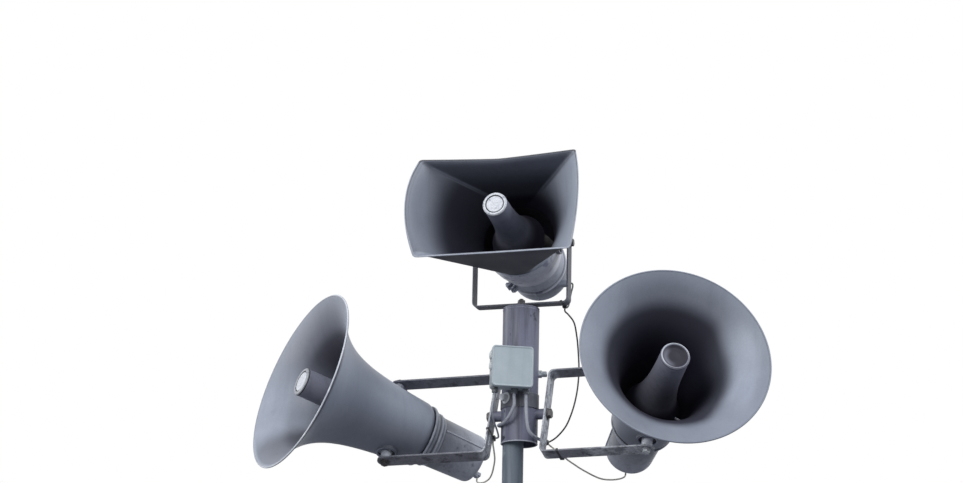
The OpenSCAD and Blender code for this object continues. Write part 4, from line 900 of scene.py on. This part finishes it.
# ---------------------------------------------------------------- leads
ROUTES = {
    "lead_trunk": (AT_BOLT, 8.0, "lead_jacket", ["mast"], [
        [34, -55, 38], [34, -55, 28], [36, -58, 0], [39, -58, -34], [43, -55, -52], [51, -44, -63], [57, -20, -66],
        [56, 2, -63], [55, 12, -61], [55, 20, -61]]),
    "lead_top": (AT_BOLT, 4.0, "tie_plastic", ["mast", "top_bracket"], [
        [54, 42, -59], [54, 50, -59], [58, 60, -55], [67, 66, -48], [76, 70, -39], [94, 72, -17], [110, 75, 23],
        [120, 79, 73], [124, 78, 123], [124, 70, 171], [124, 57, 205], [121, 42, 235], [111, 31, 251],
        [103, 27, 260], [103, 27, 268]]),
    "lead_top_tail": (TOP, 4.0, "tie_plastic", ["top_bracket", "top_horn"], [
        [104, 27, 0], [104, 36, 0], [103, 58, 10], [98, 88, 32], [96, 110, 58], [96, 124, 77.5], [92.4, 131.8, 87],
        [84.3, 134, 89.5]]),
    "lead_right": (AT_BOLT, 4.0, "pale_jacket", ["mast", "right_bracket"], [
        [57, 42, -63], [57, 48, -63], [58.8, 53.2, -65], [64, 56, -69.5], [71, 52.5, -75], [77.5, 40, -82.5],
        [83.5, 24, -90.5], [90, 7.5, -98], [97.5, -4, -101.5], [107, -6, -102]]),
    "lead_right_tail": (SIDE["right"], 4.0, "pale_jacket", ["right_bracket", "right_horn"], [
        [45, 30, -99], [45, 38, -99], [49, 48, -101], [61, 75, -102], [74, 106, -101], [102, 155, -98],
        [121, 183, -87], [135, 206, -72], [140.5, 219, -60], [141, 222.8, -53], [141, 222.8, -46.3]]),
    "lead_left": (AT_BOLT, 4.5, "lead_jacket", ["mast", "left_bracket"], [
        [-33, -92, 38], [-33, -92, 30], [-37, -92, 9], [-40, -85, -12], [-43, -66, -25], [-47, -42, -31],
        [-49.5, -20, -40], [-51, -8, -46.5], [-54.6, 2.2, -51], [-63, 5.5, -52]]),
    "lead_left_tail": (SIDE["left"], 4.0, "pale_jacket", ["left_bracket", "left_horn"], [
        [0, -24.5, -51], [0, -24.5, -60], [-2, -34, -76], [0, -52, -87], [11, -80, -92], [28, -116, -89],
        [46, -146, -82], [70, -172, -73], [90, -187, -62], [95.7, -191.3, -54], [95.7, -191.3, -46.3]]),
    "lead_feed": (AT_BOLT, 8.0, "lead_jacket", ["mast"], [
        [9, -69, 38], [9, -69, 29], [10, -70, 11], [1, -67, -8], [-10, -61, -21], [-28, -44, -28], [-41, -31, -28],
        [-48, -14, -26], [-50, 4, -23], [-45, 21, -20], [-37, 33, -18], [-32, 38, -18]]),
}
# the top lead bends only above the right bracket's arm, so that it clears the arm when the top horn pans
SLOT_OF = {row["node"]: row["material_slot"] for row in frame["record"]["subparts"]}
for name, (place, thick, look, bodies, route) in ROUTES.items():
    path = smooth_path(route, thick * 0.6)
    across = len(bodies) == 2
    ob = make(name + "_sheath", [sweep(path, thick / 2, 14)], place, None if across else bodies[0], SLOT_OF[name],
              (name,), sharp=60, look=look)
    if across:
        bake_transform(ob)

# ---------------------------------------------------------------- finishes of the CAD's own pieces
LOOK_OF = {"left_bracket": "side_strap", "right_bracket": "side_strap", "box_band": "shaded_band_zinc",
           "cable_glands": "shaded_gland_plastic", "right_pivot_bolts": "galvanised", "top_clamp_band": "driver_paint"}
for name, ob in NODES.items():
    ob.data.materials.clear()
    ob.data.materials.append(FINISH[LOOK_OF.get(name, SLOT_OF[name])])


# ---------------------------------------------------------------- stage and light
def background(t, dim):
    """White to the camera and to mirror and glass rays, the given colour to the light itself."""
    path = node(t, "LightPath").outputs
    seen = number(t, "ADD", path["Is Camera Ray"], path["Is Glossy Ray"], clamp=True)
    seen = number(t, "ADD", seen, path["Is Transmission Ray"], clamp=True)
    return tint(t, seen, dim, (1.0, 1.0, 1.0))


def stage_light():
    """A ground and a sky that are paler to the camera than to the light, and three soft lamps."""
    floor = bpy.data.meshes.new("floor")
    floor.from_pydata([(-30, -30, 0), (30, -30, 0), (30, 30, 0), (-30, 30, 0)], [], [(0, 1, 2, 3)])
    pale = bpy.data.materials.new("floor")
    pale.use_nodes = True
    t = pale.node_tree
    shade = tint(t, node(t, "LightPath").outputs["Is Camera Ray"], (0.20, 0.20, 0.215), (0.80, 0.80, 0.80))
    t.links.new(shade, t.nodes["Principled BSDF"].inputs["Base Color"])
    t.nodes["Principled BSDF"].inputs["Roughness"].default_value = 0.9
    floor.materials.append(pale)
    ground = add("floor", floor)
    ground.location.z = -0.0005

    world = bpy.data.worlds.new("sky")
    bpy.context.scene.world = world
    world.use_nodes = True
    t = world.node_tree
    t.nodes.clear()
    up = node(t, "SeparateXYZ", {0: node(t, "TexCoord").outputs["Generated"]}).outputs["Z"]
    sky = tint(t, ramp(t, up, -0.25, 0.5), (0.11, 0.11, 0.125), (0.86, 0.89, 0.95))
    node(t, "OutputWorld", {"Surface": node(t, "Background", {"Color": background(t, sky)}).outputs[0]})

    def soft_lamp(name, at, aim, size, power, colour=(1, 1, 1)):
        lamp = bpy.data.lights.new(name, "AREA")
        lamp.shape, lamp.size, lamp.energy, lamp.color = "DISK", size, power, colour
        ob = add(name, lamp)
        ahead = np.array(aim, float) - np.array(at, float)
        ahead /= np.linalg.norm(ahead)
        right = np.cross(ahead, [0, 0, 1.0])
        right /= np.linalg.norm(right)
        m = np.eye(4)
        m[:3, 0], m[:3, 1], m[:3, 2], m[:3, 3] = right, np.cross(right, ahead), -ahead, at
        ob.matrix_world = Matrix(m.tolist())
        ob.visible_camera = False

    soft_lamp("key", (-0.9, -4.9, 4.5), (0, 0, 2.7), 2.4, 128, (1.0, 0.995, 0.98))
    soft_lamp("left", (-4.6, -1.6, 3.4), (0, 0, 2.7), 2.2, 92)
    soft_lamp("right", (3.3, -0.6, 5.3), (0, 0, 2.7), 2.2, 80, (0.95, 0.97, 1.0))


stage_light()
bpy.context.scene.view_settings.view_transform = "Standard"
